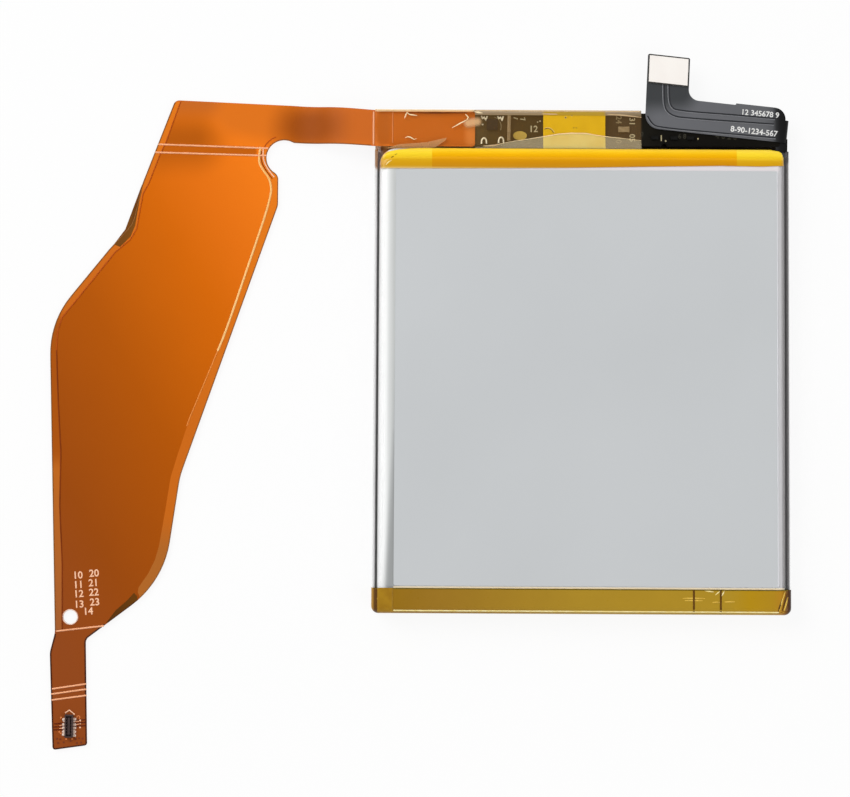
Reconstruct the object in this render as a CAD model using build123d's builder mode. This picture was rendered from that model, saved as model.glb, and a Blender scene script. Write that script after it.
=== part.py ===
from build123d import *
import math
import os

os.makedirs("parts", exist_ok=True)

# A mobile phone battery pack, lying on its back, in millimetres.
# X runs across the cell, Y runs towards the protection board, Z rises to the label.
# The origin is the middle of the cell's flat back face.

FIT_GAP = 0.01  # between parts that are fitted or soldered side by side

# Pouch cell: a cup drawn from aluminium laminate, with its side seams folded up
CELL_WIDTH = 60.0  # over the folded seams
CELL_LENGTH = 67.0  # from the folded foot to the wall beside the board bay
CELL_THICKNESS = 4.3
LAMINATE = 0.12  # one layer of pouch film
FLANGE_RISE = 0.15  # the seal plane above the pressed-out back face
STACK_STEP = 0.12  # how far the film drops beyond the electrode stack
STACK_SLOPE = 0.24  # the width of that drop
STACK_SIDE_MARGIN = 1.75
STACK_FOOT_MARGIN = 3.85
STACK_HEAD_MARGIN = 1.6
CUP_CORNER_RADIUS = 2.4
CUP_EDGE_RADIUS = 1.0
CUP_BACK_RADIUS = 0.3
SEAM_THICKNESS = 0.45
SEAM_HEIGHT = 2.9
SEAM_GAP = 0.25  # the groove between the folded seam and the cup
SEAM_BEND_RADIUS = 0.25
SEAM_CORNER_RADIUS = 0.14
SEAM_FOOT_MARGIN = 1.3
SEAM_HEAD_MARGIN = 0.1

# Board bay and the sealed terrace that is its floor
BAY_LENGTH = 5.75
TERRACE_LENGTH = 3.2
TERRACE_SIDE_MARGIN = 0.8
TERRACE_CORNER = 1.0

# Tabs that leave the cell through the terrace
TAB_WIDTH = 5.0
TAB_THICKNESS = 0.1
TAB_OFFSET = 17.0  # each side of the middle
SEAL_WIDTH = 7.0
SEAL_THICKNESS = 0.2
SEAL_SHOWING = 0.7  # how far the seal strip stands out of the terrace
SEAL_BURIED = 2.5
BULGE_MARGIN = 0.5  # terrace film beside a seal strip
WELD_PLATE_LENGTH = 5.6
WELD_PLATE_DEPTH = 3.2
WELD_PLATE_THICKNESS = 0.25
WELD_PLATE_MARGIN = 0.6

# Protection board, its parts and the pad below it
BOARD_LEFT_MARGIN = 2.0  # from the side of the cell
BOARD_RIGHT_MARGIN = 1.2
BOARD_SETBACK = 0.65  # from the cup's end wall
BOARD_WIDTH = 4.8
BOARD_THICKNESS = 0.6
BOARD_CORNER_RADIUS = 0.4
BOARD_NOTCH_RADIUS = 0.4
BOARD_NOTCH_OFFSET = 12.0
UNDERLAY_THICKNESS = 0.75
UNDERLAY_LENGTH = 24.0
UNDERLAY_DEPTH = 3.6
MOSFET_LENGTH = 3.0
MOSFET_DEPTH = 2.2
MOSFET_HEIGHT = 0.7
MOSFET_SPACING = 4.4
MOSFET_LEADS = 4
LEAD_WIDTH = 0.35
LEAD_REACH = 0.35
LEAD_THICKNESS = 0.18
CHIP_SIZE = 1.6
CHIP_HEIGHT = 0.5
CHIP_SHARE = 0.101  # of the board's free stretch between the two flexes
CHIP_RAISE = 0.6  # above the board's middle line
DIMPLE_RADIUS = 0.15
DIMPLE_DEPTH = 0.05
PASSIVE_LENGTH = 1.0
PASSIVE_WIDTH = 0.5
RESISTOR_HEIGHT = 0.35
CAPACITOR_HEIGHT = 0.5
RESISTOR_SPOTS = (1.45, 4.25, 6.65)  # from the black flex's outer side
CAPACITOR_SHARES = (0.5, 0.7)
CAPACITOR_SPREAD = 1.0  # each side of the board's middle line
THERMISTOR_SHARE = 0.6
END_CAP_LENGTH = 0.25
END_CAP_STEP = 0.02
FUSE_LENGTH = 1.6
FUSE_WIDTH = 0.8
FUSE_HEIGHT = 0.45
FUSE_SHARE = 0.876
PAD_HEIGHT = 0.05
OVAL_PAD_LENGTH = 2.0
OVAL_PAD_WIDTH = 1.3
OVAL_PAD_PLACE = (4.05, -1.55)  # from the chip
SQUARE_PAD = 0.8
SQUARE_PAD_SPACING = 2.4
SQUARE_PAD_REACH = 1.7

# Orange main flex: one film from the board to the tail
FLEX_THICKNESS = 0.2
SOLDER_HEIGHT = 0.06
FLEX_LANDING = 14.5  # over the board
FLEX_END_RADIUS = 0.4
FLEX_WALL_GAP = 0.45  # between the strip and the cup's end wall
FLEX_TAPE_GAP = 0.05  # between the strip and the wrap tape
BACKING_THICKNESS = 0.15
BACKING_INSET = 0.5
BEND_START = 12.0  # left of the cell, where the film leaves the surface
BEND_END = 3.0  # left of the cell, where it is level with the board
NOTCH_RADIUS = 2.6
NOTCH_CENTRE = (-13.3, -6.7)
NOTCH_WING_BLEND = 1.2
NOTCH_STRIP_BLEND = 0.8
HOLE_RADIUS = 1.0
HOLE_CENTRE = (-43.62, -73.7)
SOLDER_COUNT = 6
SOLDER_LENGTH = 1.1
SOLDER_DEPTH = 2.4
SOLDER_PITCH = 1.7
SOLDER_MARGIN = 1.6

# Corners of the main flex's outline, measured from the strip's upper edge at the cell's side:
# across, along, and the radius that rounds the corner
FLEX_CORNERS = (
    (-BEND_START, 0.95, 8.0),
    (-29.3, 1.7, 0.9),
    (-33.95, -10.6, 6.0),
    (-35.3, -16.5, 4.0),
    (-38.7, -20.3, 6.0),
    (-47.2, -30.9, 13.0),
    (-45.8, -76.0, 3.0),
    (-46.5, -78.8, 3.0),
    (-45.9, -92.8, 0.4),
    (-40.95, -92.1, 0.4),
    (-41.35, -76.9, 1.0),
    (-30.2, -68.5, 14.0),
    (-28.0, -53.3, 12.0),
    (-14.15, -13.7, 2.0),
    (-14.15, -4.35, 0.0),
)

# Places where the dark backing film shows past the orange one, in the same coordinates
BACKING_WAIST = ((-33.9, -10.3), (-36.4, -17.3), (-38.1, -19.6), (-36.9, -20.8), (-32.5, -12.0))
BACKING_HIP = ((-33.6, -70.8), (-38.5, -74.6), (-38.5, -72.5), (-34.5, -69.6))
BACKING_SLIVER_RADIUS = 0.3
BACKING_HEAD = -8.5  # the film's ends
BACKING_FOOT = -72.0

# Tail connector: a small board-to-board receptacle, with its stiffener below the flex
TAIL_CONNECTOR_CENTRE = (-43.55, -89.34)
RECEPTACLE_WIDTH = 1.2
RECEPTACLE_LENGTH = 3.3
RECEPTACLE_HEIGHT = 0.6
RECEPTACLE_WALL = 0.2
RECEPTACLE_FLOOR = 0.15
ISLAND_WIDTH = 0.35
ISLAND_LENGTH = 2.4
ISLAND_DROP = 0.1
TAIL_STIFFENER_LENGTH = 9.0
TAIL_STIFFENER_INSET = 0.15
CONTACT_COUNT = 6
CONTACT_PITCH = 0.42
CONTACT_WIDTH = 0.2
CONTACT_THICKNESS = 0.08
CONTACT_FOOT = 0.25

# Black connector flex: an L on the board, folded down round the board's end
RUN_ANGLE = 6.0  # the run falls this much to the right
RUN_WIDTH = 4.75
RUN_STEP = 0.23
RUN_STEP_PLACE = 7.35
RUN_STEP_SLOPE = 0.1
RUN_REACH = 20.2  # from the fold to the arm's outer side, along the lower edge
ARM_WIDTH = 6.15
ARM_LENGTH = 10.8  # from the run's lower edge to the end of the arm
ARM_LEAN = 3.5  # degrees to the left of square
OUTER_BEND_RADIUS = 2.1
INNER_BEND_RADIUS = 1.6
RUN_END_RADIUS = 1.7
ARM_END_RADIUS = 0.2
BLACK_FLEX_THICKNESS = 0.18
FOLD_CLEARANCE = 0.45  # between the board's end and the start of the fold
FOLD_RETURN = 2.2  # under the board
RUN_RISE = 1.25  # of the run's lower edge above the cup's end wall, at the fold
PLATE_LENGTH = 5.95
PLATE_WIDTH = 4.15
PLATE_THICKNESS = 0.2
PLATE_CORNER_RADIUS = 0.15
PLATE_END_MARGIN = 0.05
PLUG_LENGTH = 3.4
PLUG_WIDTH = 1.7
PLUG_HEIGHT = 0.6
PLUG_BASE = 0.2
PLUG_TRENCH_WIDTH = 0.5
PLUG_TRENCH_MARGIN = 0.35

# Films and tapes
TAPE_THICKNESS = 0.07
TAPE_GAP = 0.02
END_TAPE_LENGTH = 3.55
END_TAPE_SIDE_GAP = 0.03
END_TAPE_CORNER_RADIUS = 1.05
END_TAPE_BACK_RADIUS = 0.3
SHOULDER_TAPE_START = 3.05  # from the cup's end wall
SHOULDER_TAPE_SIDE_MARGIN = 1.3
SHOULDER_TAPE_RADIUS = 1.8
SHOULDER_WRAP_ANGLE = 75.0
LABEL_THICKNESS = 0.1
LABEL_LEFT_MARGIN = 3.1
LABEL_RIGHT_MARGIN = 1.8
LABEL_HEAD_GAP = 0.15
LABEL_FOOT_GAP = 0.05
LABEL_CORNER_RADIUS = 0.3
EDGE_TAPE_START = 1.25  # from the side of the cell
EDGE_TAPE_DROP = 0.8  # its lower edge above the surface
EDGE_TAPE_HEAD_MARGIN = 0.5
EDGE_TAPE_FOOT_GAP = 0.1
WRAP_ARM_GAP = 0.55  # short of the black flex's outer corner
WRAP_SLOPE_START = 2.7  # from the cup's end wall, where the tape starts to rise
WRAP_SLOPE_TOP = 3.98
WRAP_SHOULDER_OVERLAP = 0.15
WRAP_BACK_OVERLAP = 0.5
WRAP_FRONT_RADIUS = 0.3
WRAP_SLOPE_RADIUS = 3.0
PATCH_START_SHARE = 0.401  # of the board's free stretch
PATCH_END_SHARE = 0.766
PATCH_THICKNESS = 0.06
PATCH_FRONT_GAP = 0.25  # to the wrap tape's front wall

# Levels and edges that follow from the sizes above
HALF_WIDTH = CELL_WIDTH / 2
HEAD = CELL_LENGTH / 2
FOOT = -CELL_LENGTH / 2
BAY_END = HEAD + BAY_LENGTH
CUP_TOP = CELL_THICKNESS - STACK_STEP
CUP_WIDTH = CELL_WIDTH - 2 * (SEAM_THICKNESS + SEAM_GAP)
TERRACE_TOP = FLANGE_RISE + 2 * LAMINATE
TERRACE_END = HEAD + TERRACE_LENGTH
SEAL_BOTTOM = FLANGE_RISE + LAMINATE + FIT_GAP
TAB_LEVEL = SEAL_BOTTOM + SEAL_THICKNESS / 2
BOARD_UNDERSIDE = TERRACE_TOP + UNDERLAY_THICKNESS + MOSFET_HEIGHT
BOARD_TOP = BOARD_UNDERSIDE + BOARD_THICKNESS
BOARD_LEFT = -HALF_WIDTH + BOARD_LEFT_MARGIN
BOARD_RIGHT = HALF_WIDTH - BOARD_RIGHT_MARGIN
BOARD_MIDDLE = HEAD + BOARD_SETBACK + BOARD_WIDTH / 2
FLEX_LEVEL = BOARD_TOP + SOLDER_HEIGHT
LANDING_END = -HALF_WIDTH + FLEX_LANDING
FOLD_START = BOARD_RIGHT + FOLD_CLEARANCE
BLACK_FLEX_SIDE = FOLD_START - RUN_REACH * math.cos(math.radians(RUN_ANGLE))
TAIL_TOP = BACKING_THICKNESS + FLEX_THICKNESS
STRIP_TOP_EDGE = BAY_END - FLEX_TAPE_GAP
STRIP_WIDTH = BAY_LENGTH - FLEX_TAPE_GAP - FLEX_WALL_GAP
PATCH_LEVEL = BOARD_TOP + CAPACITOR_HEIGHT + TAPE_GAP
WRAP_LEVEL = PATCH_LEVEL + PATCH_THICKNESS + TAPE_GAP
EASE = 0.01


def free_stretch(share):
    """A place across the board between the orange flex and the black one."""
    return LANDING_END + share * (BLACK_FLEX_SIDE - LANDING_END)


def flex_place(across, along):
    """A point given from the strip's upper edge at the cell's side."""
    return (-HALF_WIDTH + across, STRIP_TOP_EDGE + along)


def on_arm(across, along):
    """A point of the black flex's leaning arm, from its outer side and the run's lower edge."""
    return (across - RUN_REACH - along * math.tan(math.radians(ARM_LEAN)), along)


def passives(places, level, length, width, height):
    """Chip parts with plated ends, standing on one level."""
    with BuildPart() as group:
        with BuildSketch(Plane.XY.offset(level)):
            with Locations(places):
                Rectangle(length, width - 2 * END_CAP_STEP)
        extrude(amount=height - END_CAP_STEP)
        with BuildSketch(Plane.XY.offset(level)):
            for side in (-1, 1):
                offset_places = [(x + side * (length - END_CAP_LENGTH) / 2, y) for x, y in places]
                with Locations(offset_places):
                    Rectangle(END_CAP_LENGTH, width)
        extrude(amount=height)
    return group.part


def finish(part, name):
    """Name a finished piece and write it."""
    part.label = name
    export_step(part, f"parts/{name}.step")


# The pouch: drawn cup, pressed-out stack faces, terrace, tab bulges and folded seams
with BuildPart() as pouch_cell:
    with BuildSketch(Plane.XY.offset(FLANGE_RISE)):
        RectangleRounded(CUP_WIDTH, CELL_LENGTH, CUP_CORNER_RADIUS)
    extrude(amount=CUP_TOP - FLANGE_RISE)
    fillet(pouch_cell.faces().sort_by(Axis.Z)[-1].edges(), CUP_EDGE_RADIUS)
    fillet(pouch_cell.faces().sort_by(Axis.Z)[0].edges(), CUP_BACK_RADIUS)
    stack_width = CELL_WIDTH - 2 * STACK_SIDE_MARGIN
    stack_length = CELL_LENGTH - STACK_FOOT_MARGIN - STACK_HEAD_MARGIN
    stack_middle = (STACK_FOOT_MARGIN - STACK_HEAD_MARGIN) / 2
    for foot_level, face_level in ((CUP_TOP, CELL_THICKNESS), (FLANGE_RISE, 0)):
        with BuildSketch(Plane.XY.offset(foot_level)):
            with Locations((0, stack_middle)):
                RectangleRounded(
                    stack_width + 2 * STACK_SLOPE,
                    stack_length + 2 * STACK_SLOPE,
                    CUP_EDGE_RADIUS + STACK_SLOPE,
                )
        with BuildSketch(Plane.XY.offset(face_level)):
            with Locations((0, stack_middle)):
                RectangleRounded(stack_width, stack_length, CUP_EDGE_RADIUS)
        loft()
    with BuildSketch(Plane.XY.offset(FLANGE_RISE)) as terrace:
        terrace_depth = TERRACE_LENGTH + CUP_CORNER_RADIUS
        with Locations((0, TERRACE_END - terrace_depth / 2)):
            Rectangle(CELL_WIDTH - 2 * TERRACE_SIDE_MARGIN, terrace_depth)
        chamfer(terrace.vertices().group_by(Axis.Y)[-1], TERRACE_CORNER)
    extrude(amount=2 * LAMINATE)
    with BuildSketch(Plane.XY.offset(FLANGE_RISE)):
        with Locations((-TAB_OFFSET, HEAD), (TAB_OFFSET, HEAD)):
            Rectangle(SEAL_WIDTH + 2 * BULGE_MARGIN, 2 * TERRACE_LENGTH)
    extrude(amount=2 * LAMINATE + SEAL_THICKNESS + 2 * FIT_GAP)
    with BuildSketch(Plane.XY.offset(SEAL_BOTTOM - FIT_GAP)):
        with Locations((-TAB_OFFSET, TERRACE_END), (TAB_OFFSET, TERRACE_END)):
            Rectangle(SEAL_WIDTH + 2 * FIT_GAP, 2 * (SEAL_BURIED + FIT_GAP))
    extrude(amount=SEAL_THICKNESS + 2 * FIT_GAP, mode=Mode.SUBTRACT)
    with BuildSketch(Plane.XZ.offset(-HEAD + SEAM_HEAD_MARGIN)):
        for side in (-1, 1):
            with BuildLine():
                FilletPolyline(
                    (side * (CUP_WIDTH / 2 - SEAM_THICKNESS), FLANGE_RISE),
                    (side * HALF_WIDTH, FLANGE_RISE),
                    (side * HALF_WIDTH, SEAM_HEIGHT),
                    (side * (HALF_WIDTH - SEAM_THICKNESS), SEAM_HEIGHT),
                    (side * (HALF_WIDTH - SEAM_THICKNESS), TERRACE_TOP),
                    (side * (CUP_WIDTH / 2 - SEAM_THICKNESS), TERRACE_TOP),
                    radius=(0, SEAM_BEND_RADIUS, SEAM_CORNER_RADIUS, SEAM_CORNER_RADIUS, 0, 0),
                    close=True,
                )
            make_face()
    extrude(amount=CELL_LENGTH - SEAM_HEAD_MARGIN - SEAM_FOOT_MARGIN)
finish(pouch_cell.part, "pouch_cell")

# Tabs: flat strips that come out of the seal and fold back to the weld plates
tab_return = BOARD_UNDERSIDE - WELD_PLATE_THICKNESS - TAB_THICKNESS / 2
tab_bend = (tab_return - TAB_LEVEL) / 2
tab_bend_start = BOARD_MIDDLE + BOARD_WIDTH / 2 - tab_bend
weld_plate_foot = HEAD + BOARD_SETBACK + WELD_PLATE_MARGIN
for sign, name in ((-1, "positive_tab"), (1, "negative_tab")):
    with BuildPart() as tab:
        with BuildSketch(Plane.YZ.offset(sign * TAB_OFFSET - TAB_WIDTH / 2)):
            with BuildLine():
                tab_root = (TERRACE_END - SEAL_BURIED + FIT_GAP, TAB_LEVEL)
                inner_run = Line(tab_root, (tab_bend_start, TAB_LEVEL))
                fold = JernArc(inner_run @ 1, inner_run % 1, tab_bend, 180)
                Line(fold @ 1, (weld_plate_foot, tab_return))
            trace(line_width=TAB_THICKNESS)
        extrude(amount=TAB_WIDTH)
    finish(tab.part, name)

    with BuildPart() as seal:
        with BuildSketch(Plane.XY.offset(SEAL_BOTTOM)):
            seal_depth = SEAL_BURIED + SEAL_SHOWING
            with Locations((sign * TAB_OFFSET, TERRACE_END + SEAL_SHOWING - seal_depth / 2)):
                Rectangle(SEAL_WIDTH, seal_depth)
        extrude(amount=SEAL_THICKNESS)
        with BuildSketch(Plane.XY.offset(TAB_LEVEL - TAB_THICKNESS / 2)):
            with Locations((sign * TAB_OFFSET, TERRACE_END)):
                Rectangle(TAB_WIDTH, 2 * seal_depth)
        extrude(amount=TAB_THICKNESS, mode=Mode.SUBTRACT)
    finish(seal.part, name + "_seal")

# Nickel plates on the board's underside, which the tabs are welded to
with BuildPart() as weld_plates:
    with BuildSketch(Plane.XY.offset(BOARD_UNDERSIDE - WELD_PLATE_THICKNESS)):
        weld_plate_middle = weld_plate_foot + WELD_PLATE_DEPTH / 2
        with Locations((-TAB_OFFSET, weld_plate_middle), (TAB_OFFSET, weld_plate_middle)):
            Rectangle(WELD_PLATE_LENGTH, WELD_PLATE_DEPTH)
    extrude(amount=WELD_PLATE_THICKNESS)
finish(weld_plates.part, "weld_plates")

# The protection board, with the small notches where it was snapped from its panel
with BuildPart() as protection_board:
    with BuildSketch(Plane.XY.offset(BOARD_UNDERSIDE)):
        with Locations(((BOARD_LEFT + BOARD_RIGHT) / 2, BOARD_MIDDLE)):
            RectangleRounded(BOARD_RIGHT - BOARD_LEFT, BOARD_WIDTH, BOARD_CORNER_RADIUS)
        board_foot = BOARD_MIDDLE - BOARD_WIDTH / 2
        with Locations((-BOARD_NOTCH_OFFSET, board_foot), (BOARD_NOTCH_OFFSET, board_foot)):
            Circle(BOARD_NOTCH_RADIUS, mode=Mode.SUBTRACT)
    extrude(amount=BOARD_THICKNESS)
finish(protection_board.part, "protection_board")

# The foam strip that carries the switching transistors on the terrace
with BuildPart() as board_underlay:
    with BuildSketch(Plane.XY.offset(TERRACE_TOP)):
        with Locations((0, BOARD_MIDDLE)):
            Rectangle(UNDERLAY_LENGTH, UNDERLAY_DEPTH)
    extrude(amount=UNDERLAY_THICKNESS)
finish(board_underlay.part, "board_underlay")

# Two switching transistors, hanging from the board's underside
with BuildPart() as mosfet_pair:
    mosfet_places = [(sign * MOSFET_SPACING / 2, BOARD_MIDDLE) for sign in (-1, 1)]
    with BuildSketch(Plane.XY.offset(BOARD_UNDERSIDE - MOSFET_HEIGHT)):
        with Locations(*mosfet_places):
            Rectangle(MOSFET_LENGTH, MOSFET_DEPTH)
    extrude(amount=MOSFET_HEIGHT)
    with BuildSketch(Plane.XY.offset(BOARD_UNDERSIDE - LEAD_THICKNESS)):
        with Locations(*mosfet_places):
            with GridLocations(MOSFET_LENGTH / MOSFET_LEADS, 0, MOSFET_LEADS, 1):
                Rectangle(LEAD_WIDTH, MOSFET_DEPTH + 2 * LEAD_REACH)
    extrude(amount=LEAD_THICKNESS)
finish(mosfet_pair.part, "mosfet_pair")

# The protection chip, with its pin-one dimple
chip_place = (free_stretch(CHIP_SHARE), BOARD_MIDDLE + CHIP_RAISE)
with BuildPart() as protection_chip:
    with BuildSketch(Plane.XY.offset(BOARD_TOP)):
        with Locations(chip_place):
            Rectangle(CHIP_SIZE, CHIP_SIZE)
    extrude(amount=CHIP_HEIGHT)
    with BuildSketch(Plane.XY.offset(BOARD_TOP + CHIP_HEIGHT)):
        with Locations((chip_place[0] - CHIP_SIZE / 4, chip_place[1] + CHIP_SIZE / 4)):
            Circle(DIMPLE_RADIUS)
    extrude(amount=-DIMPLE_DEPTH, mode=Mode.SUBTRACT)
finish(protection_chip.part, "protection_chip")

# Small parts on the board's upper face
lower_row = BOARD_MIDDLE - BOARD_WIDTH / 4
resistor_places = [(BLACK_FLEX_SIDE + x, lower_row) for x in RESISTOR_SPOTS]
capacitor_rows = (BOARD_MIDDLE - CAPACITOR_SPREAD, BOARD_MIDDLE + CAPACITOR_SPREAD)
capacitor_places = [(free_stretch(share), y) for share in CAPACITOR_SHARES for y in capacitor_rows]
resistors = passives(resistor_places, BOARD_TOP, PASSIVE_LENGTH, PASSIVE_WIDTH, RESISTOR_HEIGHT)
finish(resistors, "resistors")
capacitors = passives(capacitor_places, BOARD_TOP, PASSIVE_LENGTH, PASSIVE_WIDTH, CAPACITOR_HEIGHT)
finish(capacitors, "capacitors")
fuse_places = [(free_stretch(FUSE_SHARE), BOARD_MIDDLE)]
chip_fuse = passives(fuse_places, BOARD_TOP, FUSE_LENGTH, FUSE_WIDTH, FUSE_HEIGHT)
finish(chip_fuse, "chip_fuse")
thermistor_places = [(free_stretch(THERMISTOR_SHARE), lower_row)]
thermistor = passives(thermistor_places, BOARD_TOP, PASSIVE_LENGTH, PASSIVE_WIDTH, CAPACITOR_HEIGHT)
finish(thermistor, "thermistor")

# Bare pads on the board's upper face
with BuildPart() as test_pads:
    with BuildSketch(Plane.XY.offset(BOARD_TOP)):
        with Locations((chip_place[0] + OVAL_PAD_PLACE[0], chip_place[1] + OVAL_PAD_PLACE[1])):
            Ellipse(OVAL_PAD_LENGTH / 2, OVAL_PAD_WIDTH / 2)
        for x in (-SQUARE_PAD_SPACING / 2, SQUARE_PAD_SPACING / 2):
            for y in (-SQUARE_PAD_REACH, SQUARE_PAD_REACH):
                with Locations((chip_place[0] + x, BOARD_MIDDLE + y)):
                    Rectangle(SQUARE_PAD, SQUARE_PAD)
    extrude(amount=PAD_HEIGHT)
finish(test_pads.part, "test_pads")

# Main flex outline: the wing, the strip, the tail, and the round relief in the inner corner
outline_points = [flex_place(across, along) for across, along, _ in FLEX_CORNERS]
outline_points += [flex_place(0, -STRIP_WIDTH), flex_place(FLEX_LANDING, -STRIP_WIDTH)]
outline_points += [flex_place(FLEX_LANDING, 0), flex_place(0, 0)]
outline_radii = [radius for _, _, radius in FLEX_CORNERS]
outline_radii += [0, FLEX_END_RADIUS, FLEX_END_RADIUS, 0]
notch_place = flex_place(*NOTCH_CENTRE)
hole_place = flex_place(*HOLE_CENTRE)
with BuildSketch() as flex_outline:
    with BuildLine():
        FilletPolyline(*outline_points, radius=outline_radii, close=True)
    make_face()
    with Locations(notch_place):
        Circle(NOTCH_RADIUS, mode=Mode.SUBTRACT)
    on_notch = flex_outline.vertices().filter_by(
        lambda v: abs((Vector(v.X, v.Y) - Vector(*notch_place)).length - NOTCH_RADIUS) < EASE
    )
    fillet(on_notch.sort_by(Axis.Y)[0], NOTCH_WING_BLEND)
    fillet(
        flex_outline.vertices().sort_by_distance(on_notch.sort_by(Axis.Y)[-1].center())[0],
        NOTCH_STRIP_BLEND,
    )

# The film lies on its backing, rises in two equal arcs beside the cell and lands on the board
bend_run = BEND_START - BEND_END
bend_rise = FLEX_LEVEL - BACKING_THICKNESS
bend_radius = (bend_run**2 + bend_rise**2) / (4 * bend_rise)
bend_angle = math.degrees(math.asin(bend_run / 2 / bend_radius))
with BuildPart() as main_flex:
    with BuildSketch(Plane.XZ):
        with BuildLine():
            lying = Line(
                (-2 * CELL_WIDTH, BACKING_THICKNESS + FLEX_THICKNESS / 2),
                (-HALF_WIDTH - BEND_START, BACKING_THICKNESS + FLEX_THICKNESS / 2),
            )
            lift = JernArc(lying @ 1, (1, 0), bend_radius, bend_angle)
            level_off = JernArc(lift @ 1, lift % 1, bend_radius, -bend_angle)
            Line(level_off @ 1, (0, FLEX_LEVEL + FLEX_THICKNESS / 2))
        trace(line_width=FLEX_THICKNESS)
    extrude(amount=2 * CELL_LENGTH, both=True)
    with BuildSketch():
        add(flex_outline.sketch)
        with Locations(hole_place):
            Circle(HOLE_RADIUS, mode=Mode.SUBTRACT)
    extrude(amount=2 * FLEX_LEVEL, mode=Mode.INTERSECT)
finish(main_flex.part, "main_flex")

# Soldered lands between the board and the main flex
with BuildPart() as solder_joints:
    with BuildSketch(Plane.XY.offset(BOARD_TOP)):
        row_end = LANDING_END - SOLDER_MARGIN
        with Locations(*[(row_end - i * SOLDER_PITCH, BOARD_MIDDLE) for i in range(SOLDER_COUNT)]):
            Rectangle(SOLDER_LENGTH, SOLDER_DEPTH)
    extrude(amount=SOLDER_HEIGHT)
finish(solder_joints.part, "solder_joints")

# The dark film under the wing, which shows past it at the waist and at the hip
with BuildPart() as flex_backing_film:
    with BuildSketch():
        add(flex_outline.sketch)
        offset(amount=-BACKING_INSET)
        film_head = STRIP_TOP_EDGE + BACKING_HEAD
        film_foot = STRIP_TOP_EDGE + BACKING_FOOT
        with Locations((-2 * CELL_WIDTH, (film_head + film_foot) / 2)):
            Rectangle(4 * CELL_WIDTH, film_head - film_foot, mode=Mode.INTERSECT)
        for sliver in (BACKING_WAIST, BACKING_HIP):
            with BuildLine():
                FilletPolyline(
                    *[flex_place(*corner) for corner in sliver], radius=BACKING_SLIVER_RADIUS, close=True
                )
            make_face()
    extrude(amount=BACKING_THICKNESS)
finish(flex_backing_film.part, "flex_backing_film")

# The stiffener below the tail
with BuildPart() as tail_stiffener:
    with BuildSketch():
        add(flex_outline.sketch)
        offset(amount=-TAIL_STIFFENER_INSET)
        tail_end = flex_outline.sketch.bounding_box().min.Y
        with Locations((-2 * CELL_WIDTH, tail_end + TAIL_STIFFENER_LENGTH / 2)):
            Rectangle(4 * CELL_WIDTH, TAIL_STIFFENER_LENGTH, mode=Mode.INTERSECT)
    extrude(amount=BACKING_THICKNESS)
finish(tail_stiffener.part, "tail_stiffener")

# The tail's receptacle: a low wall round a floor with a middle island
tail_place = flex_place(*TAIL_CONNECTOR_CENTRE)
pocket_width = RECEPTACLE_WIDTH - 2 * RECEPTACLE_WALL
contact_rows = [(CONTACT_COUNT - 1) * CONTACT_PITCH / 2 - i * CONTACT_PITCH for i in range(CONTACT_COUNT)]
with BuildPart() as tail_receptacle:
    with BuildSketch(Plane.XY.offset(TAIL_TOP)):
        with Locations(tail_place):
            Rectangle(RECEPTACLE_WIDTH, RECEPTACLE_LENGTH)
    extrude(amount=RECEPTACLE_HEIGHT)
    fillet(tail_receptacle.edges().filter_by(Axis.Z), RECEPTACLE_WALL / 2)
    with BuildSketch(Plane.XY.offset(TAIL_TOP + RECEPTACLE_FLOOR)):
        with Locations(tail_place):
            Rectangle(pocket_width, RECEPTACLE_LENGTH - 2 * RECEPTACLE_WALL)
            Rectangle(ISLAND_WIDTH, ISLAND_LENGTH, mode=Mode.SUBTRACT)
    extrude(amount=RECEPTACLE_HEIGHT, mode=Mode.SUBTRACT)
    with BuildSketch(Plane.XY.offset(TAIL_TOP + RECEPTACLE_HEIGHT)):
        with Locations(tail_place):
            Rectangle(ISLAND_WIDTH, ISLAND_LENGTH)
    extrude(amount=-ISLAND_DROP, mode=Mode.SUBTRACT)
    leg_length = RECEPTACLE_WALL + CONTACT_THICKNESS + 2 * FIT_GAP
    slot_places = [
        (tail_place[0] + side * (RECEPTACLE_WIDTH - leg_length) / 2, tail_place[1] + y)
        for side in (-1, 1)
        for y in contact_rows
    ]
    with BuildSketch(Plane.XY.offset(TAIL_TOP)):
        with Locations(*slot_places):
            Rectangle(leg_length, CONTACT_WIDTH + 2 * FIT_GAP)
    extrude(amount=RECEPTACLE_FLOOR, mode=Mode.SUBTRACT)
finish(tail_receptacle.part, "tail_receptacle")

# Its contacts: a foot outside the wall, a leg under it and a spring leaf inside it
with BuildPart() as tail_contacts:
    for side in (-1, 1):
        leaf_face = pocket_width / 2 - FIT_GAP - CONTACT_THICKNESS
        foot_end = RECEPTACLE_WIDTH / 2 + CONTACT_FOOT
        foot_x = tail_place[0] + side * (leaf_face + foot_end) / 2
        leaf_x = tail_place[0] + side * (leaf_face + CONTACT_THICKNESS / 2)
        with BuildSketch(Plane.XY.offset(TAIL_TOP)):
            with Locations(*[(foot_x, tail_place[1] + y) for y in contact_rows]):
                Rectangle(foot_end - leaf_face, CONTACT_WIDTH)
        extrude(amount=CONTACT_THICKNESS)
        with BuildSketch(Plane.XY.offset(TAIL_TOP)):
            with Locations(*[(leaf_x, tail_place[1] + y) for y in contact_rows]):
                Rectangle(CONTACT_THICKNESS, CONTACT_WIDTH)
        extrude(amount=RECEPTACLE_HEIGHT - ISLAND_DROP)
finish(tail_contacts.part, "tail_contacts")

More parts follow.
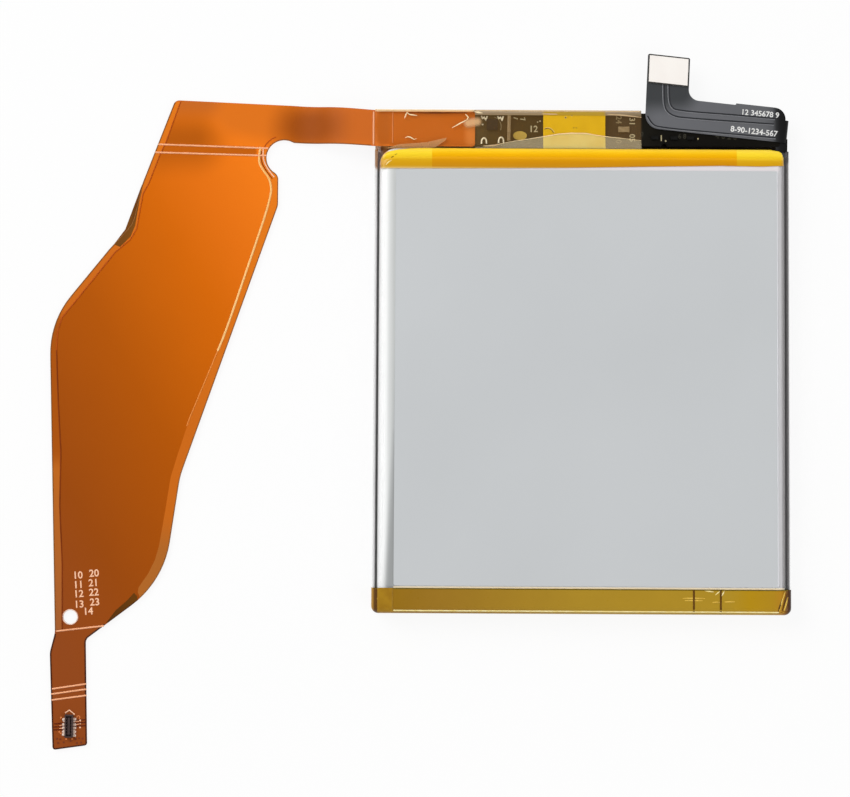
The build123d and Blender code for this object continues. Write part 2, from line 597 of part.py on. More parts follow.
# The black flex: an L in the board's bay, in its own tilted coordinates from the fold
run_across = Vector(math.cos(math.radians(RUN_ANGLE)), -math.sin(math.radians(RUN_ANGLE)), 0)
run_along = Vector(-run_across.Y, run_across.X, 0)
fold_place = Vector(FOLD_START, HEAD + RUN_RISE, FLEX_LEVEL)
run_plane = Plane(origin=fold_place, x_dir=run_across, z_dir=(0, 0, 1))
run_top = RUN_WIDTH + RUN_STEP
fold_width = run_top - RUN_END_RADIUS
fold_underside = BOARD_UNDERSIDE - BLACK_FLEX_THICKNESS / 2
fold_radius = (FLEX_LEVEL + BLACK_FLEX_THICKNESS / 2 - fold_underside) / 2
with BuildPart() as connector_flex:
    with BuildSketch(run_plane):
        with BuildLine():
            FilletPolyline(
                (0, 0),
                on_arm(0, 0),
                on_arm(0, ARM_LENGTH),
                on_arm(ARM_WIDTH, ARM_LENGTH),
                on_arm(ARM_WIDTH, RUN_WIDTH),
                (-RUN_STEP_PLACE - RUN_STEP_SLOPE, RUN_WIDTH),
                (-RUN_STEP_PLACE, run_top),
                (0, run_top),
                radius=(
                    0,
                    OUTER_BEND_RADIUS,
                    ARM_END_RADIUS,
                    ARM_END_RADIUS,
                    INNER_BEND_RADIUS,
                    0,
                    0,
                    RUN_END_RADIUS,
                ),
                close=True,
            )
        make_face()
    extrude(amount=BLACK_FLEX_THICKNESS)
    fold_origin = fold_place + run_along * fold_width + Vector(0, 0, BLACK_FLEX_THICKNESS / 2)
    with BuildSketch(Plane(origin=fold_origin, x_dir=run_across, z_dir=-run_along)):
        with BuildLine():
            over = Line((-FOLD_CLEARANCE, 0), (0, 0))
            round_end = JernArc(over @ 1, over % 1, fold_radius, -180)
            Line(round_end @ 1, (-FOLD_RETURN, -2 * fold_radius))
        trace(line_width=BLACK_FLEX_THICKNESS)
    extrude(amount=fold_width)
finish(connector_flex.part, "connector_flex")

# The steel plate that stiffens the arm's end
plate_left = (ARM_WIDTH - PLATE_LENGTH) / 2
plate_head = ARM_LENGTH - PLATE_END_MARGIN
plate_foot = plate_head - PLATE_WIDTH
plate_centre = Vector(*on_arm(ARM_WIDTH / 2, (plate_head + plate_foot) / 2))
with BuildPart() as connector_stiffener:
    with BuildSketch(run_plane.offset(BLACK_FLEX_THICKNESS)):
        with BuildLine():
            FilletPolyline(
                on_arm(plate_left, plate_foot),
                on_arm(plate_left + PLATE_LENGTH, plate_foot),
                on_arm(plate_left + PLATE_LENGTH, plate_head),
                on_arm(plate_left, plate_head),
                radius=PLATE_CORNER_RADIUS,
                close=True,
            )
        make_face()
    extrude(amount=PLATE_THICKNESS)
finish(connector_stiffener.part, "connector_stiffener")

# The board-to-board plug under the plate: a base with a raised ring round a trench
with BuildPart() as plug_connector:
    with BuildSketch(run_plane):
        with Locations((plate_centre.X, plate_centre.Y)):
            Rectangle(PLUG_LENGTH, PLUG_WIDTH)
    extrude(amount=-PLUG_HEIGHT)
    fillet(plug_connector.edges().filter_by(Axis.Z), PLUG_TRENCH_MARGIN / 2)
    with BuildSketch(run_plane.offset(-PLUG_HEIGHT)):
        with Locations((plate_centre.X, plate_centre.Y)):
            Rectangle(PLUG_LENGTH - 2 * PLUG_TRENCH_MARGIN, PLUG_TRENCH_WIDTH)
    extrude(amount=PLUG_HEIGHT - PLUG_BASE, mode=Mode.SUBTRACT)
finish(plug_connector.part, "plug_connector")

# Its contacts, soldered to the flex beside the base
with BuildPart() as plug_contacts:
    for side in (-1, 1):
        foot_y = plate_centre.Y + side * (PLUG_WIDTH / 2 + FIT_GAP + CONTACT_FOOT / 2)
        with BuildSketch(run_plane):
            with Locations(*[(plate_centre.X + x, foot_y) for x in contact_rows]):
                Rectangle(CONTACT_WIDTH, CONTACT_FOOT)
        extrude(amount=-CONTACT_THICKNESS)
        with BuildSketch(run_plane.offset(-CONTACT_THICKNESS)):
            blade_y = plate_centre.Y + side * (PLUG_WIDTH / 2 + FIT_GAP + CONTACT_THICKNESS / 2)
            with Locations(*[(plate_centre.X + x, blade_y) for x in contact_rows]):
                Rectangle(CONTACT_WIDTH, CONTACT_THICKNESS)
        extrude(amount=-(PLUG_HEIGHT - 2 * CONTACT_THICKNESS))
finish(plug_contacts.part, "plug_contacts")

# The printed label on the stack's front face
label_left = -HALF_WIDTH + LABEL_LEFT_MARGIN
label_right = HALF_WIDTH - LABEL_RIGHT_MARGIN
label_foot = FOOT + STACK_FOOT_MARGIN + LABEL_FOOT_GAP
label_head = HEAD - SHOULDER_TAPE_START - LABEL_HEAD_GAP
with BuildPart() as label_film:
    with BuildSketch(Plane.XY.offset(CELL_THICKNESS)):
        with Locations(((label_left + label_right) / 2, (label_foot + label_head) / 2)):
            RectangleRounded(label_right - label_left, label_head - label_foot, LABEL_CORNER_RADIUS)
    extrude(amount=LABEL_THICKNESS)
finish(label_film.part, "label_film")

# The amber tape that follows the cup's shoulder down into the bay
tape_middle = TAPE_GAP + TAPE_THICKNESS / 2
shoulder_centre = (HEAD - CUP_EDGE_RADIUS, CUP_TOP - CUP_EDGE_RADIUS)
stack_head = HEAD - STACK_HEAD_MARGIN
with BuildPart() as shoulder_tape:
    with BuildSketch(Plane.YZ.offset(-HALF_WIDTH)):
        with BuildLine():
            on_slope = Polyline(
                (HEAD - SHOULDER_TAPE_START, CELL_THICKNESS + tape_middle),
                (stack_head, CELL_THICKNESS + tape_middle),
                (stack_head + STACK_SLOPE, CUP_TOP + tape_middle),
                (shoulder_centre[0], CUP_TOP + tape_middle),
            )
            CenterArc(shoulder_centre, CUP_EDGE_RADIUS + tape_middle, 90, -SHOULDER_WRAP_ANGLE)
        trace(line_width=TAPE_THICKNESS)
    extrude(amount=CELL_WIDTH)
    with BuildSketch() as shoulder_plan:
        with Locations((0, HEAD + tape_middle * 2 - SHOULDER_TAPE_START)):
            Rectangle(CELL_WIDTH - 2 * SHOULDER_TAPE_SIDE_MARGIN, 2 * SHOULDER_TAPE_START)
        fillet(shoulder_plan.vertices().group_by(Axis.Y)[-1], SHOULDER_TAPE_RADIUS)
    extrude(amount=2 * CELL_THICKNESS, mode=Mode.INTERSECT)
finish(shoulder_tape.part, "shoulder_tape")

# The amber tape folded round the foot, over both seams and on to the back
with BuildPart() as end_tape:
    cap_width = CELL_WIDTH + 2 * (END_TAPE_SIDE_GAP + TAPE_THICKNESS)
    cap_foot = FOOT - TAPE_GAP - TAPE_THICKNESS
    cap_back = FLANGE_RISE - TAPE_GAP - TAPE_THICKNESS
    cap_depth = END_TAPE_LENGTH + TAPE_GAP + TAPE_THICKNESS
    with BuildSketch(Plane.XY.offset(cap_back)):
        with Locations((0, cap_foot + cap_depth / 2)):
            Rectangle(cap_width, cap_depth)
    extrude(amount=CUP_TOP + TAPE_GAP + TAPE_THICKNESS - cap_back)
    fillet(end_tape.edges().filter_by(Axis.Z).group_by(Axis.Y)[0], END_TAPE_CORNER_RADIUS)
    for face_index, radius in ((-1, CUP_EDGE_RADIUS), (0, END_TAPE_BACK_RADIUS)):
        rim = end_tape.faces().sort_by(Axis.Z)[face_index].edges()
        fillet(rim.filter_by(lambda e: e.center().Y < cap_foot + cap_depth - EASE), radius)
    offset(amount=-TAPE_THICKNESS, openings=end_tape.faces().sort_by(Axis.Y)[-1])
finish(end_tape.part, "end_tape")

# Clear tapes that hold the folded seams against the cup
edge_head = HEAD - EDGE_TAPE_HEAD_MARGIN
edge_foot = FOOT + END_TAPE_LENGTH + EDGE_TAPE_FOOT_GAP
with BuildPart() as right_edge_tape:
    with BuildSketch(Plane.XZ.offset(-edge_head)):
        with BuildLine():
            FilletPolyline(
                (HALF_WIDTH - EDGE_TAPE_START, CUP_TOP + tape_middle),
                (HALF_WIDTH + tape_middle, CUP_TOP + tape_middle),
                (HALF_WIDTH + tape_middle, EDGE_TAPE_DROP),
                radius=CUP_EDGE_RADIUS,
            )
        trace(line_width=TAPE_THICKNESS)
    extrude(amount=edge_head - edge_foot)
finish(right_edge_tape.part, "right_edge_tape")

with BuildPart() as left_edge_tape:
    mirror(right_edge_tape.part, about=Plane.YZ)
finish(left_edge_tape.part, "left_edge_tape")

# The clear tape over the bay: from the shoulder, over the board, round the end and to the back
with BuildPart() as board_wrap_tape:
    with BuildSketch(Plane.YZ.offset(-HALF_WIDTH)):
        wrap_front = BAY_END + TAPE_THICKNESS / 2
        wrap_back = FLANGE_RISE - TAPE_GAP - TAPE_THICKNESS / 2
        wrap_top = WRAP_LEVEL + TAPE_THICKNESS / 2
        with BuildLine():
            FilletPolyline(
                (HEAD - WRAP_SHOULDER_OVERLAP, WRAP_SLOPE_TOP),
                (HEAD + WRAP_SLOPE_START, wrap_top),
                (wrap_front, wrap_top),
                (wrap_front, wrap_back),
                (HEAD - WRAP_BACK_OVERLAP, wrap_back),
                radius=(WRAP_SLOPE_RADIUS, WRAP_FRONT_RADIUS, WRAP_FRONT_RADIUS / 2),
            )
        trace(line_width=TAPE_THICKNESS)
    extrude(amount=BLACK_FLEX_SIDE - WRAP_ARM_GAP + HALF_WIDTH)
finish(board_wrap_tape.part, "board_wrap_tape")

# The yellow patch that insulates the middle of the board
with BuildPart() as bay_insulator:
    with BuildSketch(Plane.XY.offset(PATCH_LEVEL)):
        patch_foot = HEAD + FLEX_WALL_GAP
        patch_head = BAY_END - PATCH_FRONT_GAP
        patch_left = free_stretch(PATCH_START_SHARE)
        patch_right = free_stretch(PATCH_END_SHARE)
        with Locations(((patch_left + patch_right) / 2, (patch_foot + patch_head) / 2)):
            Rectangle(patch_right - patch_left, patch_head - patch_foot)
    extrude(amount=PATCH_THICKNESS)
finish(bay_insulator.part, "bay_insulator")
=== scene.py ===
"""Looks for a mobile phone battery pack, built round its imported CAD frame.

Places are given in millimetres in the frame's own axes: X across the cell, Y towards the
protection board, Z up from the cell's flat back.
"""

import logging
import math
from dataclasses import dataclass, replace
from enum import Enum
from functools import cache
from typing import Any, Callable, ClassVar, Iterable, Sequence

import bmesh
import bpy
from mathutils import Matrix, Vector
from mathutils.bvhtree import BVHTree


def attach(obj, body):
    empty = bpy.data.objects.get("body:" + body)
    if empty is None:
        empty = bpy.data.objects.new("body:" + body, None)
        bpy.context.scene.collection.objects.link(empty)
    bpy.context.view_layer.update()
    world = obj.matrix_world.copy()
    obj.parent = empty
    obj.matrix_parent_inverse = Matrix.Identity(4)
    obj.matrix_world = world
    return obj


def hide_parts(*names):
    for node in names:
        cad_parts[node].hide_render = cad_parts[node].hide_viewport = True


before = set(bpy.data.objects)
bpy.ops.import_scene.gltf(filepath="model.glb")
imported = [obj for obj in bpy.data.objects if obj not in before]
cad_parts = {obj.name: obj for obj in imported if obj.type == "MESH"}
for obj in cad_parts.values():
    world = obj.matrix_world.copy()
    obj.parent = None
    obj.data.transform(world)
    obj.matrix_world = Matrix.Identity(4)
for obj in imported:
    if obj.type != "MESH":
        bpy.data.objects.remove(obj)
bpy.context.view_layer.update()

log = logging.getLogger("battery")

MM = 0.001
BODY = "root"
IMAGE_WIDTH = 850
MATH = "ShaderNodeMath"
VECTOR = "ShaderNodeVectorMath"
LINE_STEP = 0.4  # the longest stretch between two laid points of a line, in millimetres
OUTLINE_STEP = 0.3  # the same along an outline
WELD_GAP = 0.0005  # corners of loose triangles that are one point lie nearer, in millimetres
FACING_UP = 0.5  # the least Z of an upper face's normal
FIGURE_DEPTH = 0.01  # half the height of a printed figure, in millimetres
FIGURE_WEIGHT = 0.018  # how much a figure's strokes are thickened, of its size
FIGURE_STEPS = 3  # the straight pieces in each bend of a figure
DISC_SIDES = 20
RAY_TOP = 1.0  # where a surface is looked for from, in metres
MISS = -1.0  # the height that stands for no surface, in millimetres
PATCH_EDGES = (0.35, 0.65)  # the noise at which the second and the main colour are pure
PATCH_DETAIL = 3.0
GRAIN_DETAIL = 2.0
LEAST_ROUGHNESS = 0.02
ROUGHNESS_SPREAD = 0.06  # how far the grain takes the roughness up and down
COAT_ROUGHNESS = 0.08

Point = tuple[float, float]
Path = tuple[Point, ...]
Stops = tuple[tuple[float, str], ...]
Object = bpy.types.Object


class Slot(Enum):
    """Material slot names; each piece built here is passed one."""

    AMBER_TAPE = "amber_tape"
    CLEAR_TAPE = "clear_tape"
    ORANGE_FLEX = "orange_flex"
    BLACK_FLEX = "black_flex"
    BOARD = "board"
    YELLOW_PATCH = "yellow_patch"
    POUCH = "pouch"
    SOLDER = "solder"
    STEEL = "steel"


def stops(text: str) -> Stops:
    """Read a ramp written as places and colours in turn, such as "0 #FFFFFF 1 #808080"."""
    words = text.split()
    return tuple((float(place), code) for place, code in zip(words[::2], words[1::2]))


def path(text: str) -> Path:
    """Read a path written as pairs of millimetres, such as "1.5,2 3,4"."""
    pairs = (pair.split(",") for pair in text.split())
    return tuple((float(x), float(y)) for x, y in pairs)


def linear(code: str) -> tuple[float, float, float, float]:
    """Turn an sRGB hex colour to the linear values that Blender's sockets take.

    Args:
        code: The colour as #RRGGBB.

    Returns:
        Red, green, blue and a full alpha.
    """
    parts = [int(code[i : i + 2], 16) / 255 for i in (1, 3, 5)]
    low = [c / 12.92 if c <= 0.04045 else ((c + 0.055) / 1.055) ** 2.4 for c in parts]
    return (low[0], low[1], low[2], 1.0)


def add(tree: Any, kind: str, inputs: dict | None = None, **settings: Any) -> Any:
    """Add a node to a tree with its settings and links.

    Args:
        tree: A shader or geometry node tree.
        kind: The node's type.
        inputs: Values or output sockets for its inputs, by name or number.
        **settings: The node's own settings; stops are a colour ramp's places and hex colours.

    Returns:
        The node.
    """
    node = tree.nodes.new(kind)
    for key, value in settings.items():
        if key == "stops":
            elements = node.color_ramp.elements
            while len(elements) < len(value):
                elements.new(1.0)
            for element, (place, code) in zip(elements, value):
                element.position = place
                element.color = linear(code)
        else:
            setattr(node, key, value)
    for key, value in (inputs or {}).items():
        if isinstance(value, bpy.types.NodeSocket):
            tree.links.new(value, node.inputs[key])
        else:
            node.inputs[key].default_value = value
    return node


def clear_tree(owner: Any) -> Any:
    """Give a material or a world an empty node tree.

    Args:
        owner: The material or the world.

    Returns:
        Its tree.
    """
    owner.use_nodes = True
    owner.node_tree.nodes.clear()
    return owner.node_tree


@dataclass(frozen=True)
class Shade:
    """A darker or lighter run on the plan: its ends, full and outer reach, and its colour."""

    start: Point
    end: Point
    inside: float
    outside: float
    colour: str

    def mask(self, tree: Any, place: Any) -> Any:
        """Add the run's mask.

        Args:
            tree: The shader tree.
            place: The socket that carries the place in millimetres.

        Returns:
            A socket that is 1 on the run and 0 away from it.
        """
        run = Vector((self.end[0] - self.start[0], self.end[1] - self.start[1], 0))
        flat = add(tree, VECTOR, {0: place, 1: (1, 1, 0)}, operation="MULTIPLY").outputs[0]
        away = add(tree, VECTOR, {0: flat, 1: (*self.start, 0)}, operation="SUBTRACT").outputs[0]
        along = add(tree, VECTOR, {0: away, 1: run / run.length_squared}, operation="DOT_PRODUCT")
        share = add(tree, "ShaderNodeClamp", {0: along.outputs["Value"]}).outputs[0]
        foot = add(tree, VECTOR, {0: tuple(run), "Scale": share}, operation="SCALE").outputs[0]
        gap = add(tree, VECTOR, {0: away, 1: foot}, operation="DISTANCE").outputs["Value"]
        ends = {"From Min": self.inside, "From Max": self.outside, "To Min": 1.0, "To Max": 0.0}
        kind = "ShaderNodeMapRange"
        return add(tree, kind, {"Value": gap, **ends}, interpolation_type="SMOOTHSTEP").outputs[0]


@dataclass(frozen=True)
class Finish:
    """A finish: its main colour, soft patches of a second one, and a fine grain.

    The grain and patch sizes are the real ones in millimetres, or the finest that shows.
    """

    name: str
    colours: str
    roughness: float
    patch_mm: float = 6.0
    grain_mm: float = 0.4
    grain_depth_mm: float = 0.002
    metallic: float = 0.0
    specular: float = 0.3
    coat: float = 0.0

    def paint(self, tree: Any, place: Any, patches: Any) -> Any:
        """Add the colour pattern.

        Args:
            tree: The shader tree.
            place: The socket with the place in millimetres.
            patches: The socket with the patches' noise.

        Returns:
            The colour's socket.
        """
        main, second = self.colours.split()
        ends = tuple(zip(PATCH_EDGES, (second, main)))
        return add(tree, "ShaderNodeValToRGB", {0: patches}, stops=ends).outputs[0]

    def surface(self, tree: Any, place: Any, shader: Any) -> Any:
        """Return the socket that goes to the material's output; a see-through finish adds to it."""
        return shader

    @cache
    def material(self) -> bpy.types.Material:
        """Build the material once, and give it each time.

        Returns:
            The material.
        """
        material = bpy.data.materials.new(self.name)
        tree = clear_tree(material)
        spot = add(tree, "ShaderNodeTexCoord").outputs["Object"]
        place = add(tree, VECTOR, {0: spot, 1: (1 / MM,) * 3}, operation="MULTIPLY").outputs[0]
        kinds = ((self.patch_mm, PATCH_DETAIL), (self.grain_mm, GRAIN_DETAIL))
        noises = [{"Vector": place, "Scale": 1 / size, "Detail": detail} for size, detail in kinds]
        patches, grain = (add(tree, "ShaderNodeTexNoise", noise).outputs[0] for noise in noises)
        relief = {"Height": grain, "Strength": 1.0, "Distance": self.grain_depth_mm * MM}
        low = max(LEAST_ROUGHNESS, self.roughness - ROUGHNESS_SPREAD)
        high = min(1.0, self.roughness + ROUGHNESS_SPREAD)
        gloss = add(tree, "ShaderNodeMapRange", {"Value": grain, "To Min": low, "To Max": high})
        values = {
            "Base Color": self.paint(tree, place, patches),
            "Roughness": gloss.outputs[0],
            "Metallic": self.metallic,
            "Specular IOR Level": self.specular,
            "Coat Weight": self.coat,
            "Coat Roughness": COAT_ROUGHNESS,
            "Normal": add(tree, "ShaderNodeBump", relief).outputs[0],
        }
        shader = add(tree, "ShaderNodeBsdfPrincipled", values).outputs[0]
        add(tree, "ShaderNodeOutputMaterial", {0: self.surface(tree, place, shader)})
        return material


@dataclass(frozen=True)
class RunningFinish(Finish):
    """A finish whose colours run along one direction, with other shades laid over them.

    The colours are stops along the span, which is measured on the direction in millimetres.
    A finish with no span has patches only.
    """

    direction: tuple[float, float, float] = (1.0, 0.0, 0.0)
    span: tuple[float, float] | None = None
    mottle: float = 0.04
    shades: tuple[Shade, ...] = ()

    def paint(self, tree: Any, place: Any, patches: Any) -> Any:
        """Add the run of colours, its mottle and its shades.

        Args:
            tree: The shader tree.
            place: The socket with the place in millimetres.
            patches: The socket with the mottle's noise.

        Returns:
            The colour's socket.
        """
        if self.span is None:
            return super().paint(tree, place, patches)
        along = add(tree, VECTOR, {0: place, 1: self.direction}, operation="DOT_PRODUCT")
        reach = {"Value": along.outputs["Value"], "From Min": self.span[0], "From Max": self.span[1]}
        share = add(tree, "ShaderNodeMapRange", reach).outputs[0]
        base = add(tree, "ShaderNodeValToRGB", {0: share}, stops=stops(self.colours)).outputs[0]
        change = {"Value": patches, "To Min": 1 - self.mottle, "To Max": 1 + self.mottle}
        lightness = add(tree, "ShaderNodeMapRange", change).outputs[0]
        colour = add(tree, VECTOR, {0: base, "Scale": lightness}, operation="SCALE").outputs[0]
        for shade in self.shades:
            layers = {0: shade.mask(tree, place), 6: colour, 7: linear(shade.colour)}
            colour = add(tree, "ShaderNodeMix", layers, data_type="RGBA").outputs[2]
        return colour


@dataclass(frozen=True)
class ClearFilm(RunningFinish):
    """Clear film: the share of the light in body meets the film, the rest goes through."""

    body: float = 0.1
    fade: Shade | None = None

    def surface(self, tree: Any, place: Any, shader: Any) -> Any:
        """Mix the film with see-through, which takes over away from its fade.

        Args:
            tree: The shader tree.
            place: The socket with the place in millimetres.
            shader: The film's shader socket.

        Returns:
            The mixed shader's socket.
        """
        body: Any = self.body
        if self.fade is not None:
            mask = self.fade.mask(tree, place)
            body = add(tree, MATH, {0: mask, 1: body}, operation="MULTIPLY").outputs[0]
        clear = add(tree, "ShaderNodeBsdfTransparent").outputs[0]
        return add(tree, "ShaderNodeMixShader", {0: body, 1: clear, 2: shader}).outputs[0]


@dataclass(frozen=True)
class Ink(Finish):
    """Screen-printed legend ink: matt, slightly raised, tinted by the film below it."""

    roughness: float = 0.6
    patch_mm: float = 1.5
    specular: float = 0.1


# Polyimide tape, calendered: deep amber where it lies flat; its colours run across it as painted light, pale
# at the lower edge and bright yellow where it turns over the shoulder
AMBER_SHOULDER = RunningFinish(
    "polyimide_tape_shoulder",
    "0 #EED8B0 .05 #DAB058 .12 #CC8C14 .26 #D48F08 .39 #DC9602 .53 #ECA800 .66 #F9B800 .85 #FFCC14"
    " 1 #FFD23C",
    0.22, direction=(0.0, 1.0, 0.0), span=(30.4, 33.6), specular=0.2, coat=0.15,
)
# The same tape where its ends are doubled over: paler, as two thicknesses scatter more light, with the same
# painted light running across it
AMBER_LAP = replace(
    AMBER_SHOULDER, name="polyimide_tape_lap",
    colours="0 #EED8B0 .06 #DAB050 .15 #D49C14 .3 #DAA210 .42 #E0AC14 .53 #F0C41C .68 #FEDA2C 1 #FFDC3C",
)
# Polyimide tape over the pressed foot: duller, with the seams and creases showing through; painted shade runs
# across it, darker to the left, darkest in the seam's groove near the left end and where it turns down at the
# right end
AMBER_END = RunningFinish(
    "polyimide_tape_end",
    "0 #AE8428 .004 #A87A24 .006 #5C3A10 .015 #5C3A10 .02 #B07A28 .05 #AC7E20 .055 #987018 .15 #9C7422"
    " .5 #AE8A28 .85 #B28E26 .9 #B88E12 .955 #B48A1C .975 #B88420 .984 #8A5A10 .992 #4A2808 1 #341A06",
    0.3, span=(-30.1, 30.1), patch_mm=3.0, mottle=0.05, specular=0.15, coat=0.15,
)
# Folds and creases in the same tape: the doubled fold, painted shadow in brown along the creases, painted
# highlights in pale yellow where they would catch the light, and a dark line along the edge
AMBER_FOLD = Finish("polyimide_tape_fold", "#AC8220 #9E741C", 0.3, patch_mm=1.5, specular=0.15)
AMBER_PAINTED_GLINT = Finish("polyimide_tape_painted_glint", "#E4BC4C #DAB040", 0.25, patch_mm=1.0)
TAPE_CREASE = Finish("tape_crease", "#6A4406 #5A3804", 0.4, specular=0.15)
TAPE_GLINT = Finish("tape_glint", "#FFF0B4 #F8E08C", 0.2, patch_mm=1.0, specular=0.4)
TAPE_EDGE = Finish("tape_edge", "#766418 #685612", 0.4, patch_mm=2.0, specular=0.15)
# Clear polyester tape: seen only by its gloss, its creases and a faint amber cast of its adhesive
CLEAR_WRAP = ClearFilm(
    "polyester_tape", "#F0B870 #E8AC60", 0.14, patch_mm=4.0, specular=0.2, body=0.04
)
CLEAR_EDGE = ClearFilm("polyester_tape_edge", "#FFFFFF #F2F2F2", 0.15, body=0.03)
# The same tape lifted off the board: air behind it turns it milky; over the patch it is yellow with a painted
# sheen
CLEAR_LIFTED = ClearFilm("polyester_tape_lifted", "#F8E4B8 #F0D8A8", 0.2, patch_mm=3.0, body=0.19)
CLEAR_PATCH_SHEEN = ClearFilm("polyester_tape_patch_sheen", "#FFEC94 #FCE284", 0.2, patch_mm=3.0, body=0.42)
CLEAR_FLAP = ClearFilm("polyester_tape_flap", "#E0AC74 #D8A068", 0.2, patch_mm=3.0, body=0.45)
# A small painted glare patch on the tape, fading at its edge
PAINTED_GLARE = ClearFilm(
    "polyester_tape_painted_glare", "#FFD4A0 #F8C890", 0.2, patch_mm=3.0, body=0.5,
    fade=Shade((-16.5, 37.3), (-15.2, 37.5), 0.1, 0.85, "#FFFFFF"),
)
# The same tape where it turns down past the board: two thicknesses, tan against the light
CLEAR_TURNED = ClearFilm(
    "polyester_tape_turned",
    "0 #F6C890 .36 #F4BC80 .37 #A89070 .62 #AC9470 .63 #C8A438 .85 #CCA83C .86 #A89070 1 #9C8868",
    0.25, span=(-30.0, 9.0), specular=0.2, body=0.68,
)
# Creases and smears in the clear tape: painted highlights on the ridges, along the bend and along the fold's
# top, soft ones as well, and brown where they are in shadow
TAPE_HIGHLIGHT = Finish("tape_painted_highlight", "#FFEBC0 #FCDFA8", 0.2, patch_mm=0.8, specular=0.4)
TAPE_SOFT_HIGHLIGHT = ClearFilm("tape_soft_painted_highlight", "#FFE0B0 #F8D4A0", 0.2, patch_mm=0.8, body=0.42)
CREASE_DARK = ClearFilm("tape_crease_shadow", "#5A3010 #4E2A0E", 0.4, patch_mm=0.8, body=0.5)
SMEAR = ClearFilm("adhesive_smear", "#B89868 #A88858", 0.3, patch_mm=0.8, body=0.5)
# Aluminium laminate with a nylon face: silvery white and a soft sheen; its run across it paints shade in the
# seams' grooves and highlights on the rounded shoulders
LAMINATE = RunningFinish(
    "aluminium_laminate",
    "0 #EEEEEE .0048 #E4E4E4 .0064 #848484 .0085 #525252 .0105 #6E6E6E .013 #D8D8D8 .018 #FAFBFB"
    " .0335 #FAFBFA .036 #E2E4E3 .047 #CACCCB .9675 #D4D4D6 .9685 #EAEAEC .9705 #D2D2D4 .9755 #DAD8DA"
    " .9795 #B4B2B4 .9825 #8E8B8C .985 #787576 .99 #666364 .9965 #5E5B5C .9985 #8E8C8D 1 #C8C6C6",
    0.3, span=(-30.0, 30.0), mottle=0.02, grain_mm=0.5, grain_depth_mm=0.004, specular=0.35,
    shades=(
        # Painted shadow under the board, over the terrace
        Shade((-28.0, 34.7), (28.0, 34.7), 1.15, 1.25, "#2E261C"),
        Shade((-29.3, 31.4), (-29.3, 34.8), 0.6, 1.2, "#A07448"),
        # Painted shade down the left shoulder, darker towards the bottom
        Shade((-27.1, -31.0), (-25.7, 14.0), 0.0, 1.15, "#AEB0B2"),
        Shade((-27.3, -31.0), (-25.8, -8.0), 0.2, 1.7, "#9EA0A0"),
        # Painted highlight: a bright cream line between the label and the foot tape
        Shade((-26.8, -29.84), (29.0, -29.84), 0.1, 0.16, "#FFF0D0"),
        # Painted reflection: a paler, warm strip between the label and the shoulder tape
        Shade((-26.0, 30.7), (28.0, 30.7), 0.4, 0.6, "#E6E0E2"),
        Shade((-28.7, 31.4), (-28.4, 34.4), 0.1, 0.8, "#E0B070"),
        # Painted shadow at the right corner, under the black flex's fold
        Shade((29.6, 32.3), (29.6, 34.0), 0.3, 0.9, "#3A3432"),
    ),
)
# Matt printed film: even cool grey with no gloss, and a painted highlight along its right edge
LABEL = Finish("label_film", "#C9CCCE #C6C9CB", 0.6, patch_mm=30.0, specular=0.12)
LABEL_EDGE_GLINT = Finish("label_edge_painted_highlight", "#E8E8EC #E0E0E4", 0.5, specular=0.12)
# Coverlay over rolled copper: amber and satin; its run from brown at the tail to bright orange at the top is
# painted light, and the runs laid over it darken and lighten it in places
FLEX_FIELD = RunningFinish(
    "coverlay_over_copper",
    "0 #94491C .2 #9C4A0C .33 #A85008 .47 #B45604 .6 #C66004 .73 #D66804 .85 #E67210 1 #F67E18",
    0.4, direction=(0.86, 0.51, 0.0), span=(-84.0, -24.0), patch_mm=9.0, mottle=0.025, specular=0.06,
    shades=(
        Shade((-60.0, 40.5), (-52.0, 40.5), 0.0, 3.5, "#CA6A24"),
        Shade((-61.0, 34.9), (-56.5, 35.0), 0.0, 6.5, "#B85A08"),
        Shade((-50.0, 39.0), (-45.0, 38.0), 1.5, 5.0, "#E0741C"),
        Shade((-34.0, 37.0), (-31.0, 37.0), 1.5, 6.0, "#CE6A26"),
        Shade((-27.0, 37.0), (-15.0, 37.0), 2.8, 3.2, "#C8600C"),
        # Painted shade where the strip bends down to the table
        Shade((-40.6, 37.0), (-38.4, 37.0), 0.8, 6.2, "#A24E10"),
        # Painted shade beside the cell's edge
        Shade((-28.8, 38.0), (-28.8, 35.0), 0.5, 1.3, "#BC5A0E"),
        Shade((-60.8, 33.8), (-48.0, 33.4), 0.5, 0.9, "#C46009"),
        Shade((-16.1, 36.6), (-16.1, 34.8), 0.2, 1.3, "#DC7A30"),
    ),
)
# Coverlay with no copper under it: a brighter rim, with the same painted light running along it
FLEX_RIM = replace(
    FLEX_FIELD, name="coverlay_rim",
    colours="0 #A45E30 .07 #AE622A .2 #C0681E .3 #C86818 .53 #CE6A18 .87 #E27818 1 #EA7C1A",
    roughness=0.36, patch_mm=6.0, mottle=0.03, specular=0.08,
    shades=(
        Shade((-61.0, -26.0), (-63.0, -29.5), 0.3, 7.0, "#B26828"),
        Shade((-76.0, 6.0), (-76.0, -9.0), 1.5, 4.5, "#AC540C"),
    ),
)
# Dark bonding film and the cut edge of the coverlay: thin and brown; round the tail the edge is darker,
# partly painted shadow of the stiffener's step
BACKING = Finish("bonding_film", "#7A4A14 #6A3E10", 0.5, specular=0.08)
BACKING_DEEP = Finish("bonding_film_deep", "#6C3E08 #5C3406", 0.5, specular=0.08)
CUT_EDGE = Finish("film_cut_edge", "#94602C #865426", 0.5, specular=0.1)
CUT_EDGE_SHADOW_TAIL = Finish("film_cut_edge_and_shadow_tail", "#4E2410 #441E0C", 0.5, specular=0.1)
